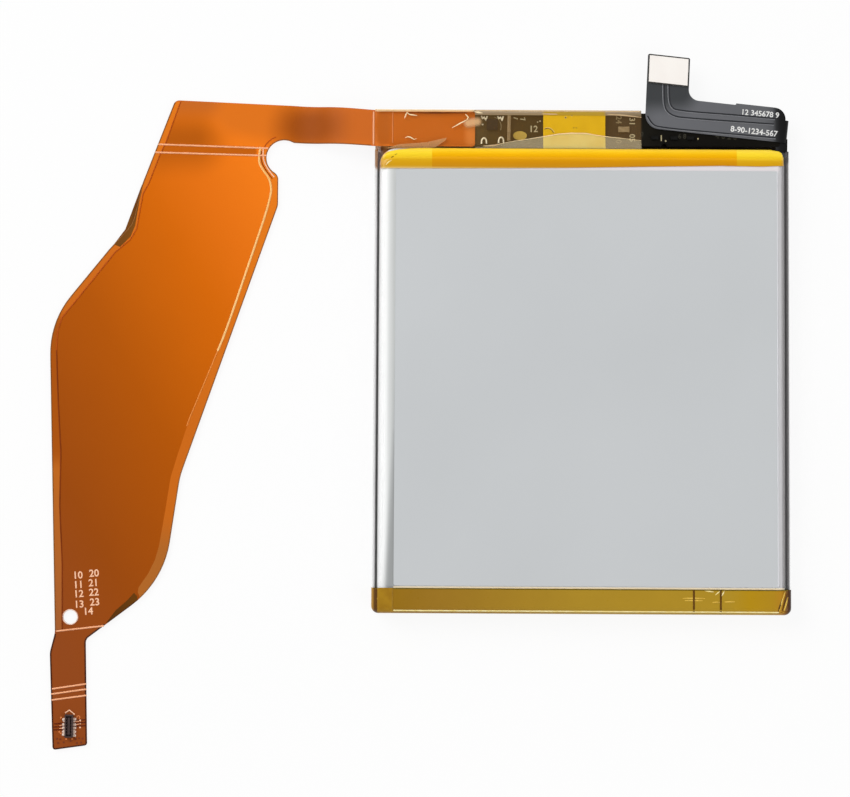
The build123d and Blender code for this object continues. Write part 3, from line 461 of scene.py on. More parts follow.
# Legend inks: peach on the orange film, straw on the board, white on the black film; the pale one also paints
# a highlight on the copper's edge at the notch
INK_CREAM = Ink("legend_ink_cream", "#FCB68A #F6AC7E")
INK_PALE_AND_HIGHLIGHT = Ink("legend_ink_pale_and_highlight", "#FFCCA8 #FAC29C")
INK_FAINT = Ink("legend_ink_faint", "#E48850 #DC7E44")
INK_BOARD = Ink("legend_ink_board", "#C2B690 #A89C78", patch_mm=0.5)
INK_WORN = Ink("legend_ink_worn", "#8A7C5C #7A6C4E", patch_mm=0.5)
INK_DIM = Ink("legend_ink_dim", "#3E3C32 #34322A", patch_mm=0.5)
INK_WHITE = Ink("legend_ink_white", "#F2F2F0 #DCDCDA", patch_mm=0.6)
# Copper laid bare and tinned: pale and matt against the film
TAIL_PAD = Finish("tinned_pad", "#FFE6D6 #F4D4C0", 0.4, patch_mm=0.4, specular=0.2)
RING = Finish("bare_ring", "#F8D8C6 #F0CAB4", 0.5, specular=0.2)
# Edge of the copper field, in shadow or in light through the coverlay
FIELD_EDGE_DARK = Finish("copper_edge_dark", "#BC5008 #B04806", 0.45, specular=0.1)
FIELD_EDGE_BROWN = Finish("copper_edge_brown", "#8E3A06 #803204", 0.45, specular=0.1)
FIELD_EDGE_LIGHT = Finish("copper_edge_light", "#FFCC84 #FFC070", 0.4, specular=0.2)
FIELD_EDGE_SOFT = Finish("copper_edge_soft", "#F09038 #E48430", 0.4, specular=0.2)
# Where the copper is etched away, and the adhesive that fills it: dark brown marks
ETCHED_GAP = Finish("etched_gap", "#641E04 #541A04", 0.5, specular=0.1)
ADHESIVE_SPOT = Finish("adhesive_spot", "#7C3614 #6C2C10", 0.5, patch_mm=0.3)
# Black coverlay: charcoal, matt, with traces standing slightly proud; painted shade darkens its right end
# where it wraps down and its arm near the plate
BLACK_COVERLAY = RunningFinish(
    "black_coverlay",
    "0 #5C5D61 .15 #68696D .5 #66676B .85 #626366 .9 #56575A .925 #2A2B2C .95 #141415 1 #0A0A0A",
    0.42, span=(8.0, 29.9), patch_mm=2.5, specular=0.2,
    shades=(Shade((9.0, 42.4), (14.0, 42.4), 1.2, 4.2, "#3E4042"),),
)
# Painted shade and light on the traces' sides: a dark line and a pale one beside each
BLACK_TRACE_DARK = Finish("black_trace_dark", "#303134 #28292C", 0.45, specular=0.2)
BLACK_TRACE_LIGHT = Finish("black_trace_light", "#808185 #747579", 0.4)
# Nickel-plated stainless plate: near white, faint rolling grain, a dark line of glue round it
PLATE = Finish("nickel_plated_steel", "#FFFAF4 #FCF6F0", 0.35, patch_mm=3.0, grain_mm=0.15, specular=0.5)
PLATE_EDGE = Finish("plate_glue_line", "#3C3A37 #34322F", 0.5, specular=0.2)
# Black solder mask: olive-brown where the tape covers it, near black beside it
SOLDER_MASK = RunningFinish(
    "black_solder_mask",
    "0 #4C3E22 .09 #3E341A .18 #3A2C12 .36 #30280E .8 #352B1E .87 #2E261A .89 #1A1812 1 #110F0B",
    0.3, span=(-16.0, 12.0), patch_mm=1.2, mottle=0.2, specular=0.15,
)
# Polyimide patch: translucent yellow, flat and glossy
PATCH = Finish("polyimide_patch", "#E4B60C #DAAC08", 0.25, patch_mm=3.0, specular=0.12)
# Plated lands: those beside the chip are stained dark by flux, the round ones are bright
LANDS = RunningFinish(
    "gold_plate_lands", "0 #40361C .55 #40361C .6 #BC9C40 1 #C8A84C",
    0.35, span=(-15.0, -8.0), patch_mm=0.6, mottle=0.1, metallic=0.2,
)
# Gold flashed on contacts: warm and bright, dark in the slot between the two rows
GOLD = Finish("gold_plate", "#D8AC34 #BE9020", 0.35, patch_mm=0.6, grain_mm=0.2, metallic=0.5)
CONTACT = RunningFinish(
    "gold_flash", "0 #FFE0CC .21 #FFE0CC .23 #5E4640 .77 #5E4640 .79 #FFE0CC 1 #FFE0CC",
    0.4, span=(-74.6, -72.5), patch_mm=0.5, metallic=0.15,
)
# Bare metals: bright reflowed tin, whose finish also gives a painted highlight spot on the board, and the
# satin of rolled nickel and aluminium
TIN_AND_GLINT = Finish("reflowed_tin_and_glint", "#FFF2CC #E8DCB8", 0.3, patch_mm=0.4, grain_mm=0.15, metallic=0.3)
NICKEL = Finish("rolled_nickel", "#C6C2BA #B4B0A8", 0.35, patch_mm=1.0, metallic=0.9)
FOIL = Finish("rolled_aluminium", "#D6D7D8 #C6C8CA", 0.35, patch_mm=1.0, metallic=0.9)
# Moulded, fired and foamed bodies: dull, each with its own fine grain
MOULDING = Finish("moulded_polymer", "#4A3A38 #3C2C2A", 0.5, patch_mm=0.5, grain_mm=0.08)
EPOXY = Finish("moulded_epoxy", "#0E0E0C #080806", 0.55, patch_mm=0.6, specular=0.15)
CERAMIC = Finish("fired_ceramic", "#94805C #7E6A48", 0.6, patch_mm=0.5, grain_mm=0.05)
SEALANT = Finish("polypropylene_strip", "#38383A #2E2E30", 0.5, patch_mm=1.0)
FOAM = Finish("closed_cell_foam", "#1C1C18 #141412", 0.9, patch_mm=0.4, grain_depth_mm=0.03)
# Open vias seen through the patch: dark holes in bright rings
VIA = Finish("open_via", "#4A3808 #3A2C06", 0.5, patch_mm=0.3)
VIA_RING = Finish("via_ring", "#F0D070 #E4C05C", 0.4, patch_mm=0.3)


@dataclass(frozen=True)
class Stroke:
    """How a line is drawn on a surface: its finish, and its sizes in millimetres."""

    finish: Finish
    width: float
    lift: float = 0.01
    height: float = 0.02
    taper: float = 0.0


def add_object(name: str, data: Any) -> Object:
    """Put a new object at the scene's origin.

    Args:
        name: Its name.
        data: Its mesh, curve, lamp or camera.

    Returns:
        The object.
    """
    made = bpy.data.objects.new(name, data)
    bpy.context.scene.collection.objects.link(made)
    return made


def mesh_object(name: str, points: Sequence[Vector], faces: Sequence[Sequence[int]]) -> Object:
    """Make a mesh object at the origin.

    Args:
        name: The piece's name.
        points: Its points in metres.
        faces: Its faces, as point numbers; pairs are edges.

    Returns:
        The object.
    """
    mesh = bpy.data.meshes.new(name)
    edges = [f for f in faces if len(f) == 2]
    mesh.from_pydata([tuple(p) for p in points], edges, [f for f in faces if len(f) > 2])
    mesh.update()
    return add_object(name, mesh)


def baked_mesh(piece: Object) -> bpy.types.Mesh:
    """Return a piece with its modifiers as a plain mesh."""
    graph = bpy.context.evaluated_depsgraph_get()
    return bpy.data.meshes.new_from_object(piece.evaluated_get(graph))


def bake_modifiers(piece: Object) -> Object:
    """Turn a piece and its modifiers to a plain mesh.

    Args:
        piece: The object, whose modifiers are dropped.

    Returns:
        The same object.
    """
    mesh = baked_mesh(piece)
    piece.modifiers.clear()
    piece.data = mesh
    return piece


def join(name: str, pieces: Iterable[Object]) -> Object:
    """Join mesh objects at the origin into one piece.

    Args:
        name: The piece's name.
        pieces: The objects, which are removed.

    Returns:
        The piece, with all their finishes.
    """
    work = bmesh.new()
    materials: list[bpy.types.Material] = []
    for piece in pieces:
        start = len(work.faces)
        work.from_mesh(piece.data)
        materials += [m for m in piece.data.materials if m not in materials]
        numbers = [materials.index(m) for m in piece.data.materials]
        work.faces.ensure_lookup_table()
        for face in work.faces[start:]:
            face.material_index = numbers[face.material_index]
        bpy.data.objects.remove(piece)
    mesh = bpy.data.meshes.new(name)
    work.to_mesh(mesh)
    work.free()
    for material in materials:
        mesh.materials.append(material)
    return add_object(name, mesh)


def arc(centre: Point, radius: float, first: float, last: float, steps: int = 16) -> list[Point]:
    """Return points on an arc, its angles in degrees."""
    turns = [math.radians(angle) for angle in spread(first, last, steps)]
    return [(centre[0] + radius * math.cos(t), centre[1] + radius * math.sin(t)) for t in turns]


def divide(points: Sequence[Point], step: float) -> list[Point]:
    """Divide a polyline.

    Args:
        points: Its points.
        step: The longest that a piece may be.

    Returns:
        The same line with more points.
    """
    fine: list[Point] = [points[0]]
    for (x0, y0), (x1, y1) in zip(points, points[1:]):
        parts = max(1, math.ceil(math.hypot(x1 - x0, y1 - y0) / step))
        fine += [(x0 + (x1 - x0) * i / parts, y0 + (y1 - y0) * i / parts) for i in range(1, parts + 1)]
    return fine


def rounded(line: Sequence[Point], rounds: int = 3) -> list[Point]:
    """Round a path's corners by cutting them.

    Args:
        line: The path's points.
        rounds: How often its corners are cut.

    Returns:
        The rounded path, with the same ends.
    """
    for _ in range(rounds):
        cut = [line[0]]
        for (x0, y0), (x1, y1) in zip(line, line[1:]):
            cut += [(x0 + (x1 - x0) * s, y0 + (y1 - y0) * s) for s in (0.25, 0.75)]
        line = [*cut, line[-1]]
    return list(line)


def spread(first: float, last: float, parts: int) -> list[float]:
    """Return even places from first to last, both included."""
    return [first + (last - first) * i / parts for i in range(parts + 1)]


def ramp(value: float, start: float, reach: float) -> float:
    """Return 0 up to the start and 1 from the start plus the reach, even between them."""
    return min(1.0, max(0.0, (value - start) / reach))


def height_at(line: Sequence[Point], x: float) -> float:
    """Read a polyline's Y.

    Args:
        line: Its points, which run with X.
        x: Where it is read.

    Returns:
        The Y there.
    """
    for (x0, y0), (x1, y1) in zip(line, line[1:]):
        if x <= x1:
            return y0 + (y1 - y0) * (x - x0) / (x1 - x0)
    return line[-1][1]


def between(outline: Sequence[Point], start: Point, end: Point) -> list[Point]:
    """Take a stretch of a closed outline.

    Args:
        outline: Its points.
        start: A place near the stretch's first point.
        end: A place near its last one.

    Returns:
        The points from the first to the last.
    """
    near = [min(range(len(outline)), key=lambda i: math.dist(outline[i], p)) for p in (start, end)]
    turned = [*outline[near[0] :], *outline[: near[0]]]
    return turned[: (near[1] - near[0]) % len(outline) + 1]


def inset_run(run: Sequence[Point], depth: float) -> list[Point]:
    """Offset an open run to its left, which is inwards on an anticlockwise outline.

    Args:
        run: Its points.
        depth: How far it moves, in millimetres.

    Returns:
        The moved points, without the run's ends.
    """
    moved = []
    for (x0, y0), (x, y), (x1, y1) in zip(run, run[1:], run[2:]):
        length = math.hypot(x1 - x0, y1 - y0)
        if length > 0:
            moved.append((x - (y1 - y0) / length * depth, y + (x1 - x0) / length * depth))
    return moved


def upper_outline(node: str) -> list[Point]:
    """Read the outer outline of a CAD node's upper faces on the plan.

    Args:
        node: The CAD node's name.

    Returns:
        A closed anticlockwise outline in millimetres.
    """
    work = bmesh.new()
    work.from_mesh(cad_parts[node].data)
    bmesh.ops.remove_doubles(work, verts=work.verts, dist=WELD_GAP * MM)
    follow: dict[int, int] = {}
    for face in work.faces:
        if face.normal.z < FACING_UP:
            continue
        for loop in face.loops:
            others = [f for f in loop.edge.link_faces if f is not face and f.normal.z >= FACING_UP]
            if not others:
                follow[loop.vert.index] = loop.link_loop_next.vert.index
    work.verts.ensure_lookup_table()
    outlines = []
    while follow:
        first, at = follow.popitem()
        chain = [first]
        while at in follow:
            chain.append(at)
            at = follow.pop(at)
        outlines.append([(work.verts[i].co.x / MM, work.verts[i].co.y / MM) for i in chain])
    work.free()
    return max(outlines, key=len)


def plate(name: str, loop: Sequence[Point], bottom: float, top: float, finish: Finish) -> Object:
    """Build a flat plate.

    Args:
        name: Its name.
        loop: Its closed anticlockwise outline, in millimetres.
        bottom: The height of its lower face, in millimetres.
        top: The height of its upper face.
        finish: Its finish.

    Returns:
        A mesh object at the origin.
    """
    count = len(loop)
    points = [Vector((x, y, z)) * MM for z in (bottom, top) for x, y in loop]
    walls = [(i, (i + 1) % count, count + (i + 1) % count, count + i) for i in range(count)]
    faces = [tuple(reversed(range(count))), tuple(range(count, 2 * count)), *walls]
    piece = mesh_object(name, points, faces)
    piece.data.materials.append(finish.material())
    return piece


def sheet(
    name: str,
    columns: Sequence[Sequence[Vector]],
    thickness: float,
    finishes: Sequence[Finish],
    pick: Callable[[int, int], int] = lambda column, row: 0,
) -> Object:
    """Build a thin smooth sheet from columns of points.

    Args:
        name: The piece's name.
        columns: Points in millimetres, column by column; every column has as many.
        thickness: The sheet's thickness, in millimetres.
        finishes: Its finishes.
        pick: Gives the number of a face's finish from its column and row.

    Returns:
        A mesh object at the origin.
    """
    rows = len(columns[0])
    spots = [(i, j) for i in range(len(columns) - 1) for j in range(rows - 1)]
    faces = [
        (i * rows + j, (i + 1) * rows + j, (i + 1) * rows + j + 1, i * rows + j + 1) for i, j in spots
    ]
    piece = mesh_object(name, [p * MM for column in columns for p in column], faces)
    for finish in finishes:
        piece.data.materials.append(finish.material())
    for face, (i, j) in zip(piece.data.polygons, spots):
        face.use_smooth = True
        face.material_index = pick(i, j)
    wall = piece.modifiers.new("thickness", "SOLIDIFY")
    wall.thickness = thickness * MM
    wall.offset = 0.0
    return bake_modifiers(piece)


class Bed:
    """The upper surface of a mesh, on which print and thin films are laid."""

    def __init__(self, mesh: bpy.types.Mesh) -> None:
        """Read the mesh, whose units are metres.

        Args:
            mesh: The mesh.
        """
        mesh.calc_loop_triangles()
        points = [v.co.copy() for v in mesh.vertices]
        self.tree = BVHTree.FromPolygons(points, [tuple(t.vertices) for t in mesh.loop_triangles])

    @classmethod
    def of(cls, node: str) -> "Bed":
        """Return the bed of a CAD node."""
        return cls(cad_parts[node].data)

    def height(self, x: float, y: float, fallback: float = 0.0) -> float:
        """Return the surface's height in millimetres at a place in millimetres."""
        hit = self.tree.ray_cast(Vector((x * MM, y * MM, RAY_TOP)), Vector((0, 0, -1)))[0]
        return hit.z / MM if hit is not None else fallback

    def lay(self, places: Sequence[Point], lift: float) -> list[Vector]:
        """Lay points on the surface.

        Args:
            places: Places in millimetres.
            lift: How far above the surface they go, in millimetres.

        Returns:
            Points in metres.
        """
        level = next((h for h in (self.height(x, y, MISS) for x, y in places) if h > MISS), 0.0)
        laid = []
        for x, y in places:
            level = self.height(x, y, level)
            laid.append(Vector((x, y, level + lift)) * MM)
        return laid


class Modeller:
    """Geometry Nodes trees that this object's lines and dots share."""

    def __init__(self) -> None:
        """Build both trees."""
        self.line_tree = self.build_line_tree()
        self.dot_tree = self.build_dot_tree()

    @staticmethod
    def group(name: str, *sizes: str) -> Any:
        """Start a geometry tree.

        Args:
            name: Its name.
            *sizes: The names of its size inputs, which its finish follows.

        Returns:
            The tree.
        """
        tree = bpy.data.node_groups.new(name, "GeometryNodeTree")
        inputs = [("Geometry", "Geometry"), *((size, "Float") for size in sizes), ("Finish", "Material")]
        for label, kind in inputs:
            tree.interface.new_socket(label, in_out="INPUT", socket_type=f"NodeSocket{kind}")
        tree.interface.new_socket("Geometry", in_out="OUTPUT", socket_type="NodeSocketGeometry")
        return tree

    def build_line_tree(self) -> Any:
        """Build the tree that sweeps a flat section along a path of edges, thinner at its ends.

        Returns:
            The tree.
        """
        tree = self.group("line_along_path", "Width", "Height", "Taper")
        start = add(tree, "NodeGroupInput").outputs
        curve = add(tree, "GeometryNodeMeshToCurve", {"Mesh": start["Geometry"]}).outputs[0]
        level = add(tree, "GeometryNodeSetCurveNormal", {"Curve": curve}, mode="Z_UP").outputs[0]
        sizes = {0: start["Width"], 1: start["Height"]}
        section = add(tree, "GeometryNodeCurvePrimitiveQuadrilateral", sizes).outputs[0]
        loss = add(tree, "GeometryNodeSplineParameter").outputs["Factor"]
        # From 0 in the middle to the taper at both ends; ABSOLUTE reads no second value
        steps = (("SUBTRACT", 0.5), ("ABSOLUTE", 0.0), ("MULTIPLY", 2.0), ("MULTIPLY", start["Taper"]))
        for operation, other in steps:
            loss = add(tree, MATH, {0: loss, 1: other}, operation=operation).outputs[0]
        scale = add(tree, MATH, {0: 1.0, 1: loss}, operation="SUBTRACT").outputs[0]
        sweep = {"Curve": level, "Profile Curve": section, "Scale": scale, "Fill Caps": True}
        self.close(tree, add(tree, "GeometryNodeCurveToMesh", sweep), start["Finish"])
        return tree

    def build_dot_tree(self) -> Any:
        """Build the tree that stands a low disc on every point.

        Returns:
            The tree.
        """
        tree = self.group("disc_on_points", "Radius", "Height")
        start = add(tree, "NodeGroupInput").outputs
        sizes = {"Vertices": DISC_SIDES, "Radius": start["Radius"], "Depth": start["Height"]}
        disc = add(tree, "GeometryNodeMeshCylinder", sizes).outputs["Mesh"]
        spots = add(tree, "GeometryNodeMeshToPoints", {"Mesh": start["Geometry"]}).outputs[0]
        stood = add(tree, "GeometryNodeInstanceOnPoints", {"Points": spots, "Instance": disc})
        self.close(tree, stood, start["Finish"])
        return tree

    @staticmethod
    def close(tree: Any, last: Any, finish: Any) -> None:
        """End a tree with Realize Instances and Set Material.

        Args:
            tree: The tree.
            last: The node whose geometry it gives.
            finish: The socket with its material.
        """
        real = add(tree, "GeometryNodeRealizeInstances", {0: last.outputs[0]}).outputs[0]
        painted = add(tree, "GeometryNodeSetMaterial", {"Geometry": real, "Material": finish})
        add(tree, "NodeGroupOutput", {0: painted.outputs[0]})

    @staticmethod
    def run(piece: Object, tree: Any, inputs: dict[str, Any]) -> Object:
        """Run a tree on a piece and keep the plain mesh.

        Args:
            piece: The object that holds the path or the points.
            tree: One of the trees above.
            inputs: The tree's inputs by name, its lengths in metres.

        Returns:
            The same object with its finished mesh.
        """
        modifier = piece.modifiers.new("shape", "NODES")
        modifier.node_group = tree
        for item in tree.interface.items_tree:
            if item.in_out == "INPUT" and item.name in inputs:
                modifier[item.identifier] = inputs[item.name]
        return bake_modifiers(piece)


@dataclass
class Assembly:
    """A group of CAD nodes that are dressed, and of the pieces built on them."""

    modeller: Modeller
    nodes: ClassVar[dict[str, Finish]] = {}

    def dress(self) -> None:
        """Give the group's CAD nodes their finish."""
        for name, finish in self.nodes.items():
            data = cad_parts[name].data
            data.materials.clear()
            data.materials.append(finish.material())

    def build(self) -> list[Object]:
        """Build the group's own pieces."""
        return []

    def piece(self, name: str, slot: Slot, *parts: Object, stands_for: str = "") -> Object:
        """Join parts into a finished piece that moves with the pack.

        Args:
            name: The piece's name.
            slot: A material slot name; not used.
            *parts: What it is made of.
            stands_for: The CAD node that it replaces, if any.

        Returns:
            The piece.
        """
        whole = join(name, parts)
        if stands_for:
            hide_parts(stands_for)
        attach(whole, BODY)
        return whole

    def draw(self, bed: Bed, stroke: Stroke, *lines: str | Sequence[Point]) -> Object:
        """Draw lines on a surface.

        Args:
            bed: The surface.
            stroke: How they are drawn.
            *lines: Their paths in millimetres, or texts that hold such paths parted by slashes.

        Returns:
            One mesh object that holds them all.
        """
        runs: list[Sequence[Point]] = []
        for line in lines:
            runs += [path(part) for part in line.split("/")] if isinstance(line, str) else [line]
        points: list[Vector] = []
        edges: list[tuple[int, int]] = []
        for run in runs:
            laid = bed.lay(divide(run, LINE_STEP), stroke.lift)
            edges += [(i, i + 1) for i in range(len(points), len(points) + len(laid) - 1)]
            points += laid
        inputs = {
            "Width": stroke.width * MM,
            "Height": stroke.height * MM,
            "Taper": stroke.taper,
            "Finish": stroke.finish.material(),
        }
        return self.modeller.run(mesh_object("lines", points, edges), self.modeller.line_tree, inputs)

    def dot(self, bed: Bed, stroke: Stroke, places: str) -> Object:
        """Set low discs on a surface.

        Args:
            bed: The surface.
            stroke: Their finish, height and lift, with their diameter as its width.
            places: Their middles, as a path's text.

        Returns:
            One mesh object that holds them all.
        """
        inputs = {
            "Radius": stroke.width / 2 * MM,
            "Height": stroke.height * MM,
            "Finish": stroke.finish.material(),
        }
        spots = mesh_object("dots", bed.lay(path(places), stroke.lift), [])
        return self.modeller.run(spots, self.modeller.dot_tree, inputs)

    def digits(self, bed: Bed, ink: Finish, size: float, angle: float, marks: dict[str, Point]) -> Object:
        """Print plain figures flat on a surface.

        Args:
            bed: The surface.
            ink: Their ink.
            size: Their size, in millimetres.
            angle: Their turn on the plan, in degrees.
            marks: The middle of each text, in millimetres.

        Returns:
            One mesh object that holds them all.
        """
        made = []
        for text, (x, y) in marks.items():
            curve = bpy.data.curves.new("figures", "FONT")
            curve.body = text
            curve.size = size * MM
            curve.align_x, curve.align_y = "CENTER", "CENTER"
            curve.extrude = FIGURE_DEPTH * MM
            curve.offset = size * FIGURE_WEIGHT * MM
            curve.resolution_u = FIGURE_STEPS
            text_object = add_object("figures", curve)
            mesh = baked_mesh(text_object)
            bpy.data.objects.remove(text_object)
            spot = Matrix.Translation(Vector((x, y, bed.height(x, y) + 2 * FIGURE_DEPTH)) * MM)
            mesh.transform(spot @ Matrix.Rotation(math.radians(angle), 4, "Z"))
            mesh.materials.clear()
            mesh.materials.append(ink.material())
            made.append(add_object("figures", mesh))
        return join("figures", made)


@dataclass
class Cell(Assembly):
    """The pouch with its label, tabs and edge tapes."""

    nodes: ClassVar[dict[str, Finish]] = {
        "pouch_cell": LAMINATE, "label_film": LABEL,
        "left_edge_tape": CLEAR_EDGE, "right_edge_tape": CLEAR_EDGE,
        "positive_tab": FOIL, "negative_tab": NICKEL,
        "positive_tab_seal": SEALANT, "negative_tab_seal": SEALANT,
    }
    label_edge: str = "28.12,-29.5 28.12,30.2"

    def build(self) -> list[Object]:
        """Show the label's cut edge where it catches the light."""
        edge = self.draw(Bed.of("label_film"), Stroke(LABEL_EDGE_GLINT, 0.14), self.label_edge)
        return [self.piece("label_edge", Slot.POUCH, edge)]


@dataclass
class AmberTapes(Assembly):
    """The polyimide tapes: one draped over the shoulder, one folded round the foot."""

    nodes: ClassVar[dict[str, Finish]] = {"end_tape": AMBER_END}
    half: float = 29.05
    laps: tuple[float, float] = (-21.7, 22.3)
    lap_columns: int = 24
    middle_columns: int = 60
    rows: int = 26
    gap: float = 0.055
    thickness: float = 0.07
    cup_top: float = 4.18
    lowest: float = 3.2
    side_run: tuple[float, float] = (27.8, 1.25)  # where a lag starts, and how far it grows
    front_run: tuple[float, float] = (31.6, 1.5)
    lip_run: tuple[float, float] = (32.1, 1.4)
    side_lag: float = 0.45
    corner_lag: float = 0.5
    lip_lag: float = 0.12
    lower: Path = path("-29.05,30.42 -21,30.45 -3,30.62 10,30.88 20,31.05 26,30.97 29.05,31.1")
    upper: Path = path(
        "-29.05,31.8 -28.7,32.4 -28.05,32.9 -26.7,33.2 -24.8,33.4 -23.4,33.5 27.5,33.5"
        " 28.45,33.25 28.85,32.95 29.05,32.3"
    )
    fold_across: tuple[float, float] = (-29.2, -26.95)
    fold_along: tuple[float, float] = (-33.52, -29.97)
    fold_parts: tuple[int, int] = (9, 24)
    fold_thickness: float = 0.03
    fold_lift: float = 0.03
    foot_level: float = 3.6

    def build(self) -> list[Object]:
        """Build the draped tape and the foot tape's folds and creases."""
        return [self.shoulder(), self.fold(), self.creases()]

    def drape(self, bed: Bed, x: float, y: float) -> float:
        """Lay the tape over the pouch, which it bridges at the rounded edges.

        Args:
            bed: The pouch's surface.
            x: The place, in millimetres.
            y: The same.

        Returns:
            The tape's height there, in millimetres.
        """
        side = ramp(abs(x), *self.side_run)
        lip = self.lip_lag * ramp(y, *self.lip_run)
        lag = lip + self.corner_lag * side * ramp(y, *self.front_run)
        inner = x - math.copysign(self.side_lag * side, x)
        return max(self.lowest, bed.height(inner, y - lag, self.cup_top)) + self.gap

    def shoulder(self) -> Object:
        """Drape the shoulder tape, which stands for the CAD one.

        Returns:
            The finished piece.
        """
        bed = Bed.of("pouch_cell")
        ends = (-self.half, *self.laps, self.half)
        parts = (self.lap_columns, self.middle_columns, self.lap_columns)
        across = [ends[0], *(x for a, b, n in zip(ends, ends[1:], parts) for x in spread(a, b, n)[1:])]
        columns = []
        for x in across:
            run = spread(height_at(self.lower, x), height_at(self.upper, x), self.rows)
            columns.append([Vector((x, y, self.drape(bed, x, y))) for y in run])
        last_lap = self.lap_columns + self.middle_columns
        tape = sheet(
            "tape", columns, self.thickness, [AMBER_SHOULDER, AMBER_LAP],
            lambda column, row: int(not self.lap_columns <= column < last_lap),
        )
        top = Bed(tape.data)
        crease, glint = Stroke(TAPE_CREASE, 0.16, taper=0.6), Stroke(TAPE_GLINT, 0.2, taper=0.7)
        marks = [
            self.draw(top, crease, "-27.66,31.95 -27.26,32.2 / -27.1,32.42 -26.75,32.58"),
            self.draw(top, glint, "-28.4,30.9 -27.95,31.4 -27.5,31.62"),
        ]
        return self.piece("shoulder_wrap", Slot.AMBER_TAPE, tape, *marks, stands_for="shoulder_tape")

    def fold(self) -> Object:
        """Double the foot tape at its left end.

        Returns:
            The finished piece.
        """
        bed = Bed.of("end_tape")
        run = spread(*self.fold_along, self.fold_parts[1])
        columns = [
            [Vector((x, y, bed.height(x, y, self.foot_level) + self.fold_lift)) for y in run]
            for x in spread(*self.fold_across, self.fold_parts[0])
        ]
        doubled = sheet("fold", columns, self.fold_thickness, [AMBER_FOLD])
        return self.piece("end_fold", Slot.AMBER_TAPE, doubled)

    def creases(self) -> Object:
        """Draw the foot tape's creases, its edge and the light on its folds.

        Returns:
            The finished piece.
        """
        marks = (
            (Stroke(TAPE_CREASE, 0.28), "16.05,-30 16.05,-33.5 / 19.9,-30 19.9,-33.5"),
            (Stroke(TAPE_EDGE, 0.16), "-29.8,-30.03 29.8,-30.03"),
            (Stroke(TAPE_GLINT, 0.32), "-26.9,-33.12 28.2,-33.12"),
            (
                Stroke(TAPE_GLINT, 0.2, taper=0.7),
                "17.6,-30.12 18.9,-30.3 / 19.1,-30.75 19.85,-30.12 / 20.06,-30.85 20.4,-30.15",
            ),
            (
                Stroke(AMBER_PAINTED_GLINT, 0.24, taper=0.6),
                "14.46,-31.21 17.66,-31.21 / 14.73,-31.54 17.3,-31.54 / 18.7,-31.77 19.8,-31.77"
                " / 20.4,-31.69 21.9,-31.68 / -29.2,-31.4 -28.8,-33.1 / -28.7,-33.1 -28.1,-32.7 -27.7,-31.9"
                " / 29.1,-30.2 28.2,-33.2 / 29.5,-31 28.9,-33.2",
            ),
            (
                Stroke(TAPE_CREASE, 0.24, taper=0.6),
                "28.7,-31.2 28,-33.3 / 29.4,-30.4 28.6,-33.2 / -27.3,-32.4 -27.5,-33.2",
            ),
        )
        bed = Bed.of("end_tape")
        lines = [self.draw(bed, stroke, text) for stroke, text in marks]
        return self.piece("end_tape_creases", Slot.AMBER_TAPE, *lines)


